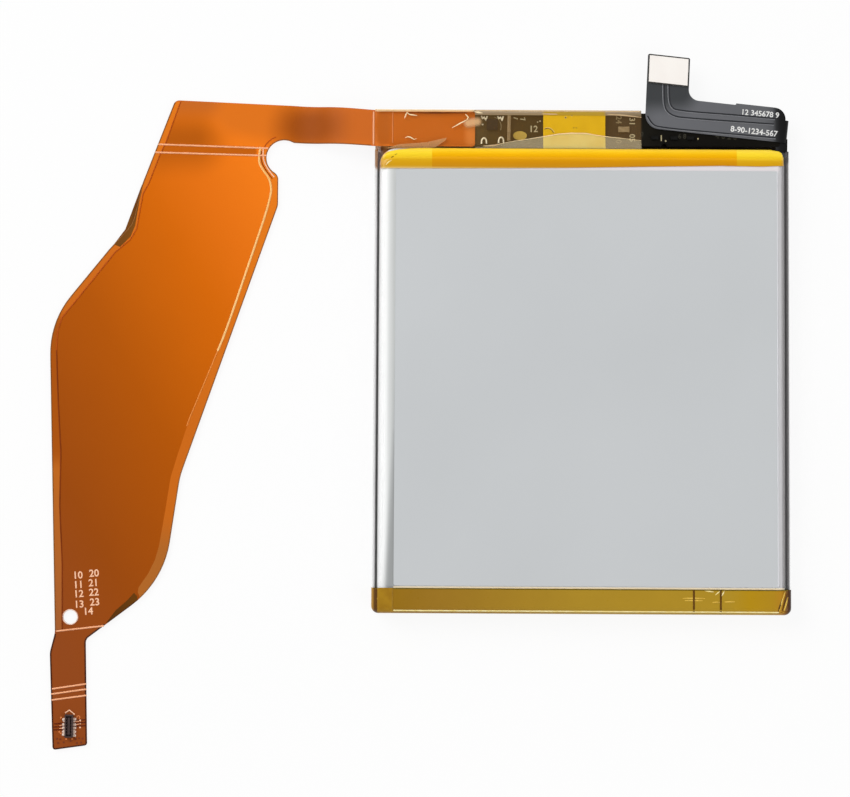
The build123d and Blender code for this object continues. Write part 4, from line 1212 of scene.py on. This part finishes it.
@dataclass
class BayWrap(Assembly):
    """The clear tape over the board bay: a thin bent sheet with creases, which stands for the CAD one."""

    level: float = 3.075
    shoulder: Point = (33.55, 3.75)
    rise_power: float = 1.15
    band: float = 38.5
    fold: float = 38.92
    front: float = 39.285
    front_radius: float = 0.3
    foot_radius: float = 0.15
    back_level: float = 0.095
    back_end: float = 33.05
    thickness: float = 0.06
    film_lift: float = 0.04
    film_thickness: float = 0.02
    fine_from: float = -12.0  # right of here the bend shows as a thin painted reflection line
    bend: Path = path(
        "-30,33.75 -17,33.75 -14.3,33.85 -11.83,34.28 -9.8,34.69 -7.69,34.99 -5.92,35.3 -3.28,35.76"
        " -1.54,35.88 0.59,35.86 2.23,35.58 4.41,35.31 6.65,35.08 8.6,34.87"
    )
    rows: tuple[int, int, int] = (12, 18, 4)
    wall_rows: int = 6
    foot_rows: int = 4
    back_rows: int = 6
    places: tuple[float, ...] = (-30.0, -15.5, -5.61, 3.39, 8.6)
    columns: tuple[int, ...] = (30, 28, 26, 16)
    corner_columns: int = 4
    flap: Path = path(
        "-28.43,33.54 -24,33.42 -21.19,33.73 -19.72,34.78 -19.58,35.15 -22.53,34.46 -26.51,34.15"
    )
    glare_patch: Path = tuple(arc((-15.85, 37.4), 1.5, 0, 360, 20)[:-1])

    def section(self, x: float) -> list[Vector]:
        """Draw the sheet's section, from the shoulder over the board to the back.

        Args:
            x: Where it is cut.

        Returns:
            Its points in millimetres.
        """
        bend = height_at(self.bend, x)
        top, corner, foot = self.level - self.front_radius, self.front_radius, self.foot_radius
        start, rise = self.shoulder[0], self.shoulder[1] - self.level
        run = [
            (y, self.level + rise * ((bend - y) / (bend - start)) ** self.rise_power)
            for y in spread(start, bend, self.rows[0])[:-1]
        ]
        run += [(y, self.level) for y in spread(bend, self.band, self.rows[1])[:-1]]
        run += [(y, self.level) for y in spread(self.band, self.fold, self.rows[2])]
        run += arc((self.front - corner, top), corner, 90, 0, self.wall_rows)
        run += [(self.front, z) for z in spread(top, self.back_level + foot, self.wall_rows)[1:]]
        run += arc((self.front - foot, self.back_level + foot), foot, 0, -90, self.foot_rows)[1:]
        back = spread(self.front - foot, self.back_end, self.back_rows)[1:]
        run += [(y, self.back_level) for y in back]
        return [Vector((x, y, z)) for y, z in run]

    def pick(self, column: int, row: int) -> int:
        """Choose a face's finish.

        Args:
            column: Its column, from the left.
            row: Its row, from the shoulder.

        Returns:
            0 where the sheet lies, 1 where it is lifted, 2 turned down, 3 lifted off the patch.
        """
        over_flex = column < self.columns[0]
        patch = sum(self.columns[:2])
        band = sum(self.rows[:2])
        wall = sum(self.rows)
        if row >= wall + self.wall_rows and column >= self.corner_columns:
            return 1
        if row >= (wall if over_flex else band):
            return 2
        if over_flex or row >= self.rows[0]:
            return 0
        return 3 if patch <= column < patch + self.columns[2] else 1

    def build(self) -> list[Object]:
        """Build the sheet, which stands for the CAD one, with its flap, a painted glare patch, its creases
        and painted highlights.

        Returns:
            The one piece.
        """
        stretches = zip(self.places, self.places[1:], self.columns)
        across = [x for first, last, parts in stretches for x in spread(first, last, parts)[:-1]]
        columns = [self.section(x) for x in (*across, self.places[-1])]
        finishes = [CLEAR_WRAP, CLEAR_LIFTED, CLEAR_TURNED, CLEAR_PATCH_SHEEN]
        tape = sheet("tape", columns, self.thickness, finishes, self.pick)
        low = self.level + self.film_lift
        outlines = {"flap": (self.flap, CLEAR_FLAP), "glare_patch": (self.glare_patch, PAINTED_GLARE)}
        films = [
            plate(name, loop, low, low + self.film_thickness, finish)
            for name, (loop, finish) in outlines.items()
        ]
        marks = (
            (
                Stroke(TAPE_HIGHLIGHT, 0.2, 0.04, taper=0.7),
                "-25.73,37.95 -25.37,38.85 / -25.4,38.85 -25.06,38.5 -23.89,38.34"
                " / -18.84,36.58 -17.66,37.25 -16.63,37.78 / -16.7,37.7 -16.49,38.15 -16.92,38.6"
                " / -25.64,35.05 -25.3,35.25 -24.9,35.19 -24.3,34.83 -24.01,34.98",
            ),
            (Stroke(TAPE_HIGHLIGHT, 0.14, 0.04, taper=0.7), [p for p in self.bend if p[0] > self.fine_from]),
            (
                Stroke(TAPE_SOFT_HIGHLIGHT, 0.22, 0.04, taper=0.5),
                "-5.75,38.7 -3.58,38.64 / 3.68,38.68 6,38.55 8.6,38.27 / -14.3,33.95 -12.6,34.05 -11.8,34.28",
            ),
            (Stroke(CREASE_DARK, 0.2, 0.04, taper=0.5), "-25.2,38.72 -21,38.75 -16.6,38.79"),
            (Stroke(SMEAR, 0.5, 0.04), "-10.62,34.75 -10.55,38.45"),
            (Stroke(TAPE_HIGHLIGHT, 0.12, 0.03), "-29.8,39.16 -15.6,39.16"),
            (Stroke(TAPE_SOFT_HIGHLIGHT, 0.2, 0.03), "-15.4,39.12 8.4,39.12"),
            (Stroke(TAPE_HIGHLIGHT, 0.3, 0.04, taper=0.8), "-15.6,38.95 -14.4,38.75"),
        )
        bed = Bed(tape.data)
        lines = [self.draw(bed, stroke, line) for stroke, line in marks]
        parts = (tape, *films, *lines)
        return [self.piece("bay_wrap", Slot.CLEAR_TAPE, *parts, stands_for="board_wrap_tape")]


@dataclass
class Board(Assembly):
    """The protection board with its parts and its printed marks."""

    nodes: ClassVar[dict[str, Finish]] = {
        "protection_board": SOLDER_MASK, "protection_chip": EPOXY, "test_pads": LANDS,
        "resistors": EPOXY, "capacitors": CERAMIC, "thermistor": CERAMIC, "chip_fuse": CERAMIC,
        "board_underlay": FOAM, "mosfet_pair": EPOXY, "weld_plates": NICKEL,
        "solder_joints": TIN_AND_GLINT, "bay_insulator": PATCH,
    }
    legs: Path = path("-0.42,0.32 -0.26,-0.1 0,0.24 0.22,-0.36 0.4,0.3")
    leg_places: Path = path("-14.15,38.12 -11.8,38.12")
    arch: Path = path("-0.36,-0.5 -0.34,0.1 0,0.42 0.34,0.1 0.36,-0.5")
    arch_places: Path = path("-14.18,34.88 -11.7,35")

    def build(self) -> list[Object]:
        """Build the lands' tin edges, the printed marks and the patch's vias."""
        bed = Bed.of("protection_board")
        return [self.land_edges(bed), self.legend(bed), self.vias()]

    def land_edges(self, bed: Bed) -> Object:
        """Run tin round the chip's four lands, as bright bowed edges, and set a painted highlight spot beside
        them.

        Args:
            bed: The board's surface.

        Returns:
            The finished piece.
        """
        shapes = ((self.legs, self.leg_places), (rounded(self.arch, 2), self.arch_places))
        runs = [[(x + a, y + b) for a, b in shape] for shape, places in shapes for x, y in places]
        edges = self.draw(bed, Stroke(TIN_AND_GLINT, 0.22, 0.085, 0.05), *runs)
        # A painted highlight spot, in the tin's finish
        spot = self.dot(bed, Stroke(TIN_AND_GLINT, 0.26, 0.085, 0.05), "-14.4,37.2")
        return self.piece("land_edges", Slot.SOLDER, edges, spot)

    def legend(self, bed: Bed) -> Object:
        """Print plain figures and short bars on the board.

        Args:
            bed: The board's surface.

        Returns:
            The finished piece.
        """
        figures = (
            (INK_BOARD, 1.3, 0, {"12": (-7.0, 36.55)}),
            (INK_BOARD, 1.0, -75, {"7": (-8.6, 38.0)}),
            (INK_BOARD, 1.15, -90, {"31": (7.3, 37.75), "05": (7.3, 35.35)}),
            (INK_WORN, 1.15, -90, {"24": (5.35, 38.0), "10": (5.35, 35.1)}),
            (INK_DIM, 0.95, 0, {"0": (8.75, 35.9), "6 8": (14.6, 35.6)}),
            (INK_BOARD, 1.2, 0, {"1": (11.57, 35.31)}),
        )
        marks = [self.digits(bed, *figure) for figure in figures]
        marks += [
            self.draw(bed, Stroke(INK_BOARD, 0.16), "-9.9,38.25 -9.3,38.05 / -6.5,37.6 -6.3,37.6"),
            self.dot(bed, Stroke(INK_BOARD, 0.24), "12.2,34.95 -6.05,37.75 16.9,35.3"),
            self.draw(bed, Stroke(INK_WORN, 0.14), arc((-13.2, 36.9), 1.5, -20, 70, 12)),
            self.digits(bed, INK_DIM, 1.1, -4, {"4 0 2 6": (21.0, 35.6)}),
        ]
        return self.piece("board_legend", Slot.BOARD, *marks)

    def vias(self) -> Object:
        """Show the open vias and an etched arc through the patch.

        Returns:
            The finished piece.
        """
        bed = Bed.of("bay_insulator")
        ring, groove = (
            rounded(path(text))
            for text in (
                "-5.45,36.58 -4.9,36.75 -4.3,36.5 -4,35.99", "-5.45,36.48 -4.9,36.62 -4.4,36.4 -4.12,35.95"
            )
        )
        marks = [
            self.dot(bed, Stroke(VIA_RING, 0.34), "-2.37,38.19 -1.46,38.55"),
            self.dot(bed, Stroke(VIA, 0.22, 0.02), "-2.37,38.19 -1.46,38.55"),
            self.dot(bed, Stroke(VIA, 0.16), "-4.58,35.07 -4.14,35.1 -5.01,35.02 -1.2,36.7 -0.8,36.7"),
            self.draw(bed, Stroke(VIA_RING, 0.1), ring),
            self.draw(bed, Stroke(VIA, 0.08), groove),
        ]
        return self.piece("patch_vias", Slot.YELLOW_PATCH, *marks)


@dataclass
class MainFlex(Assembly):
    """The orange flex: its rims, field edges, fold lines, figures and tail marks."""

    nodes: ClassVar[dict[str, Finish]] = {
        "main_flex": FLEX_FIELD, "flex_backing_film": BACKING, "tail_stiffener": PLATE,
        "tail_receptacle": MOULDING, "tail_contacts": CONTACT,
    }
    top: float = 0.35
    rim_gap: float = 0.02
    rim_depth: float = 0.01
    corner: Point = (-59.3, 40.9)
    tail_fold: Point = (-75.65, -36.6)
    tail_notch: Point = (-68.4, -35.5)
    hip: Point = (-63.75, -32.0)
    notch: Point = (-45.6, 33.9)
    arm_end: Point = (-30.2, 34.0)
    waist: tuple[Point, Point] = ((-63.8, 28.8), (-68.0, 19.1))
    waist_inner: Path = path("-67.1,19.3 -65.6,20.8 -64.95,22.4 -64.6,24.6")
    hip_inner: Path = path("-63.97,-31.5 -64.45,-30.97 -65.34,-31.98 -67.11,-33.55 -68.4,-35.3")
    field_left: Path = path(
        "-58.5,40.75 -60.56,34.77 -61.46,32.82 -63.0,28.68 -63.84,27.12 -64.7,22.0 -65.6,20.4"
        " -67.8,18.5 -71.86,13.35 -75.42,8.89 -76.02,6.83 -76.14,4.15 -75.81,-3.12 -75.32,-10.5"
        " -75.37,-18.47 -74.89,-26.85 -74.76,-36.22"
    )
    field_right: Path = path(
        "-46.79,34.09 -47.05,31.91 -46.5,30.83 -45.26,29.2 -45.1,26.75 -48.12,17.51 -51.53,7.1"
        " -52.72,4.17 -56.57,-5.31 -58.5,-11.35 -59.34,-14.18 -60.13,-19.37 -60.93,-24.23"
        " -61.49,-26.2 -62.46,-28.22 -63.8,-30.16 -63.9,-30.9"
    )
    shaded_from: int = 11
    lit_to: int = 8
    hole: Point = (-73.62, -34.5)
    hole_ring: float = 1.07
    pad_length: float = 0.4

    def build(self) -> list[Object]:
        """Build everything printed, etched or cut on the film.

        Returns:
            The finished pieces.
        """
        bed = Bed.of("main_flex")
        outer = upper_outline("main_flex")
        outline = divide([*outer, outer[0]], OUTLINE_STEP)[:-1]
        pieces = {
            "flex_rims": self.rims(outline),
            "film_cut_edges": self.film_edges(bed, outline),
            "field_edges": self.field_edges(bed),
            "fold_lines": self.fold_lines(bed),
            "land_figures": self.land_figures(bed),
            "tail_legend": self.tail_legend(bed),
            "tail_etched_gaps": self.etched_gaps(bed),
        }
        return [self.piece(name, Slot.ORANGE_FLEX, *parts) for name, parts in pieces.items()]

    def rims(self, outline: Sequence[Point]) -> list[Object]:
        """Build the clear rims beside the copper and the two places where the backing shows.

        Args:
            outline: The film's outline.

        Returns:
            The rims' parts.
        """
        parts = (
            (self.corner, self.tail_fold, self.field_left[::-1], 0.01, FLEX_RIM),
            (self.hip, self.notch, self.field_right, 0.01, FLEX_RIM),
            (*self.waist, self.waist_inner, 0.02, BACKING),
            (self.tail_notch, self.hip, self.hip_inner, 0.02, BACKING_DEEP),
        )
        made = []
        for start, end, inner, height, finish in parts:
            outer = inset_run(between(outline, start, end), self.rim_gap)
            loop, low = [*outer, *inner], self.top - self.rim_depth
            made.append(plate("rim", loop, low, self.top + height, finish))
        return made

    def film_edges(self, bed: Bed, outline: Sequence[Point]) -> list[Object]:
        """Show the film's brown cut edge on every side but its top, darker at the tail with painted shadow.

        Args:
            bed: The film's surface.
            outline: Its outline.

        Returns:
            The edge's parts.
        """
        stretches = (
            (self.corner, self.tail_fold, Stroke(CUT_EDGE, 0.14, 0.03)),
            (self.tail_fold, self.tail_notch, Stroke(CUT_EDGE_SHADOW_TAIL, 0.2, 0.03)),
            (self.tail_notch, self.hip, Stroke(CUT_EDGE_SHADOW_TAIL, 0.1, 0.03)),
            (self.hip, self.arm_end, Stroke(CUT_EDGE, 0.12, 0.03)),
        )
        return [
            self.draw(bed, stroke, inset_run(between(outline, start, end), stroke.width / 2))
            for start, end, stroke in stretches
        ]

    def field_edges(self, bed: Bed) -> list[Object]:
        """Run the copper field's edge: dark on the left, in light on the right and at the notch.

        Args:
            bed: The film's surface.

        Returns:
            The edge's parts.
        """
        pale = rounded(path("-46.38,33.82 -46.37,32.18 -45.68,30.83 -44.72,29.62"), 2)
        brown = rounded(path("-46.65,33.5 -46.7,32.1 -46.1,30.8 -45,29.4"), 2)
        marks = (
            (FIELD_EDGE_DARK, 0.14, self.field_left[: self.shaded_from + 1]),
            (FIELD_EDGE_BROWN, 0.16, self.field_left[self.shaded_from :]),
            (FIELD_EDGE_LIGHT, 0.3, rounded(self.field_right[: self.lit_to], 2)),
            (FIELD_EDGE_SOFT, 0.16, "-52.72,4.17 -56.57,-5.31 -57.1,-6.8"),
            # A painted highlight on the copper's edge at the notch, in the pale ink's finish
            (INK_PALE_AND_HIGHLIGHT, 0.18, pale),
            (FIELD_EDGE_BROWN, 0.12, brown),
            (FIELD_EDGE_DARK, 0.12, arc((-43.3, 32.5), 3.3, 152, 112, 10)),
        )
        return [self.draw(bed, Stroke(finish, width, 0.03), line) for finish, width, line in marks]

    def fold_lines(self, bed: Bed) -> list[Object]:
        """Print the fold lines across the film.

        Args:
            bed: The film's surface.

        Returns:
            The lines.
        """
        lines = (
            "-61.7,34.38 -45.64,33.88 / -62.15,33.2 -45.93,32.8 / -75.65,-36.55 -68.75,-35.75"
            " / -76.1,-44.85 -71.2,-44.1 / -76.2,-45.6 -71.15,-44.85 / -76.15,-46.45 -71.15,-45.75"
            " / -30.22,38.95 -30.22,34.15"
        )
        return [
            self.draw(bed, Stroke(INK_CREAM, 0.24, 0.035), lines),
            self.draw(bed, Stroke(INK_FAINT, 0.16, 0.035), "-27.45,38.9 -27.45,34.4"),
        ]

    def land_figures(self, bed: Bed) -> list[Object]:
        """Print plain figures at the test lands and the ring round the locating hole.

        Args:
            bed: The film's surface.

        Returns:
            The figures and the ring.
        """
        figures = {
            "10": (-72.61, -28.51), "11": (-72.5, -29.87), "12": (-72.44, -31.19),
            "13": (-72.36, -32.69), "14": (-71.04, -33.69), "20": (-70.26, -28.21),
            "21": (-70.33, -29.59), "22": (-70.25, -30.95), "23": (-70.1, -32.36),
        }
        ring = self.draw(bed, Stroke(RING, 0.13, 0.02), arc(self.hole, self.hole_ring, 0, 360, 48))
        return [self.digits(bed, INK_PALE_AND_HIGHLIGHT, 1.45, 4.0, figures), ring]

    def tail_legend(self, bed: Bed) -> list[Object]:
        """Print the outline round the receptacle and its pads.

        Args:
            bed: The film's surface.

        Returns:
            The marks.
        """
        rows = (
            (-74.55, (-49.25, -49.94, -50.43, -50.98, -51.4)),
            (-72.95, (-49.19, -49.93, -50.42, -50.98, -51.5)),
        )
        pads = [((x, y), (x + self.pad_length, y)) for x, places in rows for y in places]
        return [
            self.draw(bed, Stroke(INK_PALE_AND_HIGHLIGHT, 0.16, 0.03), "-74.16,-48.3 -73.55,-47.87 -72.8,-48.5"),
            self.draw(bed, Stroke(INK_FAINT, 0.12, 0.03), arc((-72.25, -48.9), 0.22, 200, -60, 10)),
            self.draw(
                bed, Stroke(INK_CREAM, 0.11, 0.035),
                "-74.95,-50.1 -74.3,-50.04 / -74.95,-50.52 -74.3,-50.46"
                " / -72.7,-49.52 -72.15,-49.46 / -72.7,-49.95 -72.15,-49.89",
            ),
            self.dot(bed, Stroke(INK_PALE_AND_HIGHLIGHT, 0.26, 0.03), "-71.98,-50.35 -71.98,-49.75 -71.98,-49.35"),
            self.draw(bed, Stroke(TAIL_PAD, 0.34, 0.05, 0.05), *pads),
            self.dot(
                bed, Stroke(INK_FAINT, 0.26, 0.03),
                "-74.75,-48.95 -74.72,-51.2 -73.95,-52.02 -73.1,-52.0 -74.95,-51.0",
            ),
        ]

    def etched_gaps(self, bed: Bed) -> list[Object]:
        """Draw the etched gaps beside the receptacle and the adhesive spots below it.

        Args:
            bed: The film's surface.

        Returns:
            The marks.
        """
        sides = (
            (-75.75, -74.35, 0.1, (-49.86, -50.31, -50.72)),
            (-72.7, -71.25, 0.12, (-49.35, -49.75, -50.2)),
        )
        gaps = [((a, y), (b, y + rise)) for a, b, rise, places in sides for y in places]
        return [
            self.draw(bed, Stroke(ETCHED_GAP, 0.15, 0.03), *gaps),
            self.dot(
                bed, Stroke(ADHESIVE_SPOT, 0.26, 0.03),
                "-75.3,-52 -74.8,-52.05 -74.3,-52.5 -73.3,-52.3 -72.6,-52 -72.1,-51.9 -71.6,-51.95"
                " -75.1,-52.6 -72.4,-52.6 -71.8,-52.5",
            ),
        ]


@dataclass
class BlackFlex(Assembly):
    """The black connector flex with its traces, its plain figures and the plate's glue line."""

    nodes: ClassVar[dict[str, Finish]] = {
        "connector_flex": BLACK_COVERLAY, "connector_stiffener": PLATE,
        "plug_connector": MOULDING, "plug_contacts": GOLD,
    }
    traces: tuple[Path, ...] = (
        path("12.72,43.3 12.75,40.9 13.05,39.95 13.82,39.41 22.44,38.82 28.15,38.31"),
        path("11.98,43.3 11.98,40.6 12.3,39.4 13.19,38.7 14.45,38.38 28.15,37.5"),
        path("9.57,38.6 10.2,37.49 11.14,36.94 20.12,36.18 28.3,35.5"),
    )
    tab: Path = path("28.2,33.5 28.8,33.3 29,32.7 29.85,32.7 29.9,35.3 28.2,35.3")
    tab_levels: tuple[float, float] = (2.3, 2.42)

    def build(self) -> list[Object]:
        """Build the tab, the traces, the plate's outline and the figures.

        Returns:
            The finished pieces.
        """
        bed, slot = Bed.of("connector_flex"), Slot.BLACK_FLEX
        lines = []
        for trace in self.traces:
            fine = divide(rounded(trace), OUTLINE_STEP)
            for finish, width, aside in ((BLACK_TRACE_DARK, 0.2, 0.05), (BLACK_TRACE_LIGHT, 0.13, 0.22)):
                lines.append(self.draw(bed, Stroke(finish, width), inset_run(fine, -aside)))
        edge = upper_outline("connector_stiffener")
        inset = inset_run(divide([*edge, edge[0], edge[1]], OUTLINE_STEP), 0.05)
        plate_edge = self.draw(Bed.of("connector_stiffener"), Stroke(PLATE_EDGE, 0.17), inset)
        figures = [
            self.digits(bed, INK_WHITE, 1.1, -5.0, {"12 345678 9": (25.9, 38.95)}),
            self.digits(bed, INK_WHITE, 1.15, -6.3, {"8-90-1234-567": (25.0, 36.35)}),
        ]
        return [
            self.piece("corner_tab", slot, plate("tab", self.tab, *self.tab_levels, BLACK_COVERLAY)),
            self.piece("black_flex_traces", slot, *lines),
            self.piece("plate_glue_line", Slot.STEEL, plate_edge),
            self.piece("flex_figures", slot, *figures),
        ]


@dataclass(frozen=True)
class Lamp:
    """A soft box: its name, its place and size in metres, and its power in watts."""

    name: str
    place: tuple[float, float, float]
    size: float
    power: float


@dataclass
class Studio:
    """Pale floor, soft lights, and the camera at the photograph's viewing angle."""

    camera_at: tuple[float, float, float] = (-22.54, -22.35, 349.29)
    look: tuple[float, float, float] = (0.0, 0.05652, -0.9984)
    right: tuple[float, float, float] = (0.99998, 0.005576, 0.000316)
    focal_pixels: float = 2406.5
    sensor: float = 36.0
    floor_size: float = 6.0
    floor_gap: float = 0.15
    floor_glow: float = 0.9
    dome: Stops = stops("0 #F2F2F2 .45 #E0E0E0 .85 #8A8A8A 1 #6E6E6E")
    dome_strength: float = 0.9
    lamps: tuple[Lamp, ...] = (
        Lamp("key", (-0.45, 0.35, 0.55), 0.5, 3.8),
        Lamp("fill", (0.5, -0.3, 0.6), 0.6, 2.0),
    )
    lit_point: tuple[float, float, float] = (-0.02, 0.0, 0.0)

    def build(self) -> None:
        """Set up everything that isn't the object."""
        self.floor()
        self.world()
        self.lights()
        self.camera()
        bpy.context.scene.view_settings.view_transform = "Standard"

    def floor(self) -> None:
        """Lay a white floor that keeps a faint shadow."""
        half, level = self.floor_size / 2, -self.floor_gap * MM
        corners = [(-half, -half), (half, -half), (half, half), (-half, half)]
        floor = mesh_object("floor", [Vector((x, y, level)) for x, y in corners], [(0, 1, 2, 3)])
        material = bpy.data.materials.new("white_card")
        tree = clear_tree(material)
        matt = add(tree, "ShaderNodeBsdfDiffuse", {"Color": linear("#F4F4F4")}).outputs[0]
        glow = {"Color": linear("#FFFFFF"), "Strength": 1.0}
        bright = add(tree, "ShaderNodeEmission", glow).outputs[0]
        rays = add(tree, "ShaderNodeLightPath").outputs
        seen = rays["Is Camera Ray"]
        for ray in ("Is Glossy Ray", "Is Transmission Ray"):
            seen = add(tree, MATH, {0: seen, 1: rays[ray]}, operation="MAXIMUM").outputs[0]
        share = add(tree, MATH, {0: seen, 1: self.floor_glow}, operation="MULTIPLY").outputs[0]
        mixed = add(tree, "ShaderNodeMixShader", {0: share, 1: matt, 2: bright}).outputs[0]
        add(tree, "ShaderNodeOutputMaterial", {0: mixed})
        floor.data.materials.append(material)

    def world(self) -> None:
        """Light the scene from all round, brighter from the sides than from above."""
        world = bpy.data.worlds.new("studio")
        bpy.context.scene.world = world
        tree = clear_tree(world)
        way = add(tree, "ShaderNodeTexCoord").outputs["Generated"]
        height = add(tree, "ShaderNodeSeparateXYZ", {0: way}).outputs[2]
        dome = add(tree, "ShaderNodeValToRGB", {0: height}, stops=self.dome).outputs[0]
        lit = add(tree, "ShaderNodeBackground", {"Color": dome, "Strength": self.dome_strength})
        plain = {"Color": linear("#FFFFFF"), "Strength": 1.0}
        seen = add(tree, "ShaderNodeBackground", plain)
        ray = add(tree, "ShaderNodeLightPath").outputs["Is Camera Ray"]
        ways = {0: ray, 1: lit.outputs[0], 2: seen.outputs[0]}
        add(tree, "ShaderNodeOutputWorld", {0: add(tree, "ShaderNodeMixShader", ways).outputs[0]})

    def lights(self) -> None:
        """Hang two soft boxes, the stronger at the upper left."""
        for lamp in self.lamps:
            light = bpy.data.lights.new(lamp.name, "AREA")
            light.size = lamp.size
            light.energy = lamp.power
            holder = add_object(lamp.name, light)
            holder.location = lamp.place
            aim = Vector(self.lit_point) - Vector(lamp.place)
            holder.rotation_euler = aim.to_track_quat("-Z", "Y").to_euler()

    def camera(self) -> None:
        """Place the camera where the photograph was taken from."""
        lens = bpy.data.cameras.new("camera")
        lens.sensor_fit = "HORIZONTAL"
        lens.sensor_width = self.sensor
        lens.lens = self.focal_pixels / IMAGE_WIDTH * self.sensor
        lens.clip_start = 0.01
        holder = add_object("camera", lens)
        back = -Vector(self.look).normalized()
        up = back.cross(Vector(self.right).normalized()).normalized()
        turn = Matrix((up.cross(back), up, back)).transposed().to_4x4()
        holder.matrix_world = Matrix.Translation(Vector(self.camera_at) * MM) @ turn
        bpy.context.scene.camera = holder


def main() -> None:
    """Build the studio and every assembly in order."""
    logging.basicConfig(level=logging.INFO, format="%(message)s")
    Studio().build()
    modeller = Modeller()
    for kind in (Cell, AmberTapes, Board, BayWrap, MainFlex, BlackFlex):
        assembly = kind(modeller)
        assembly.dress()
        for piece in assembly.build():
            log.info("%s: %s, %d faces", kind.__name__, piece.name, len(piece.data.polygons))


if __name__ == "__main__":
    main()
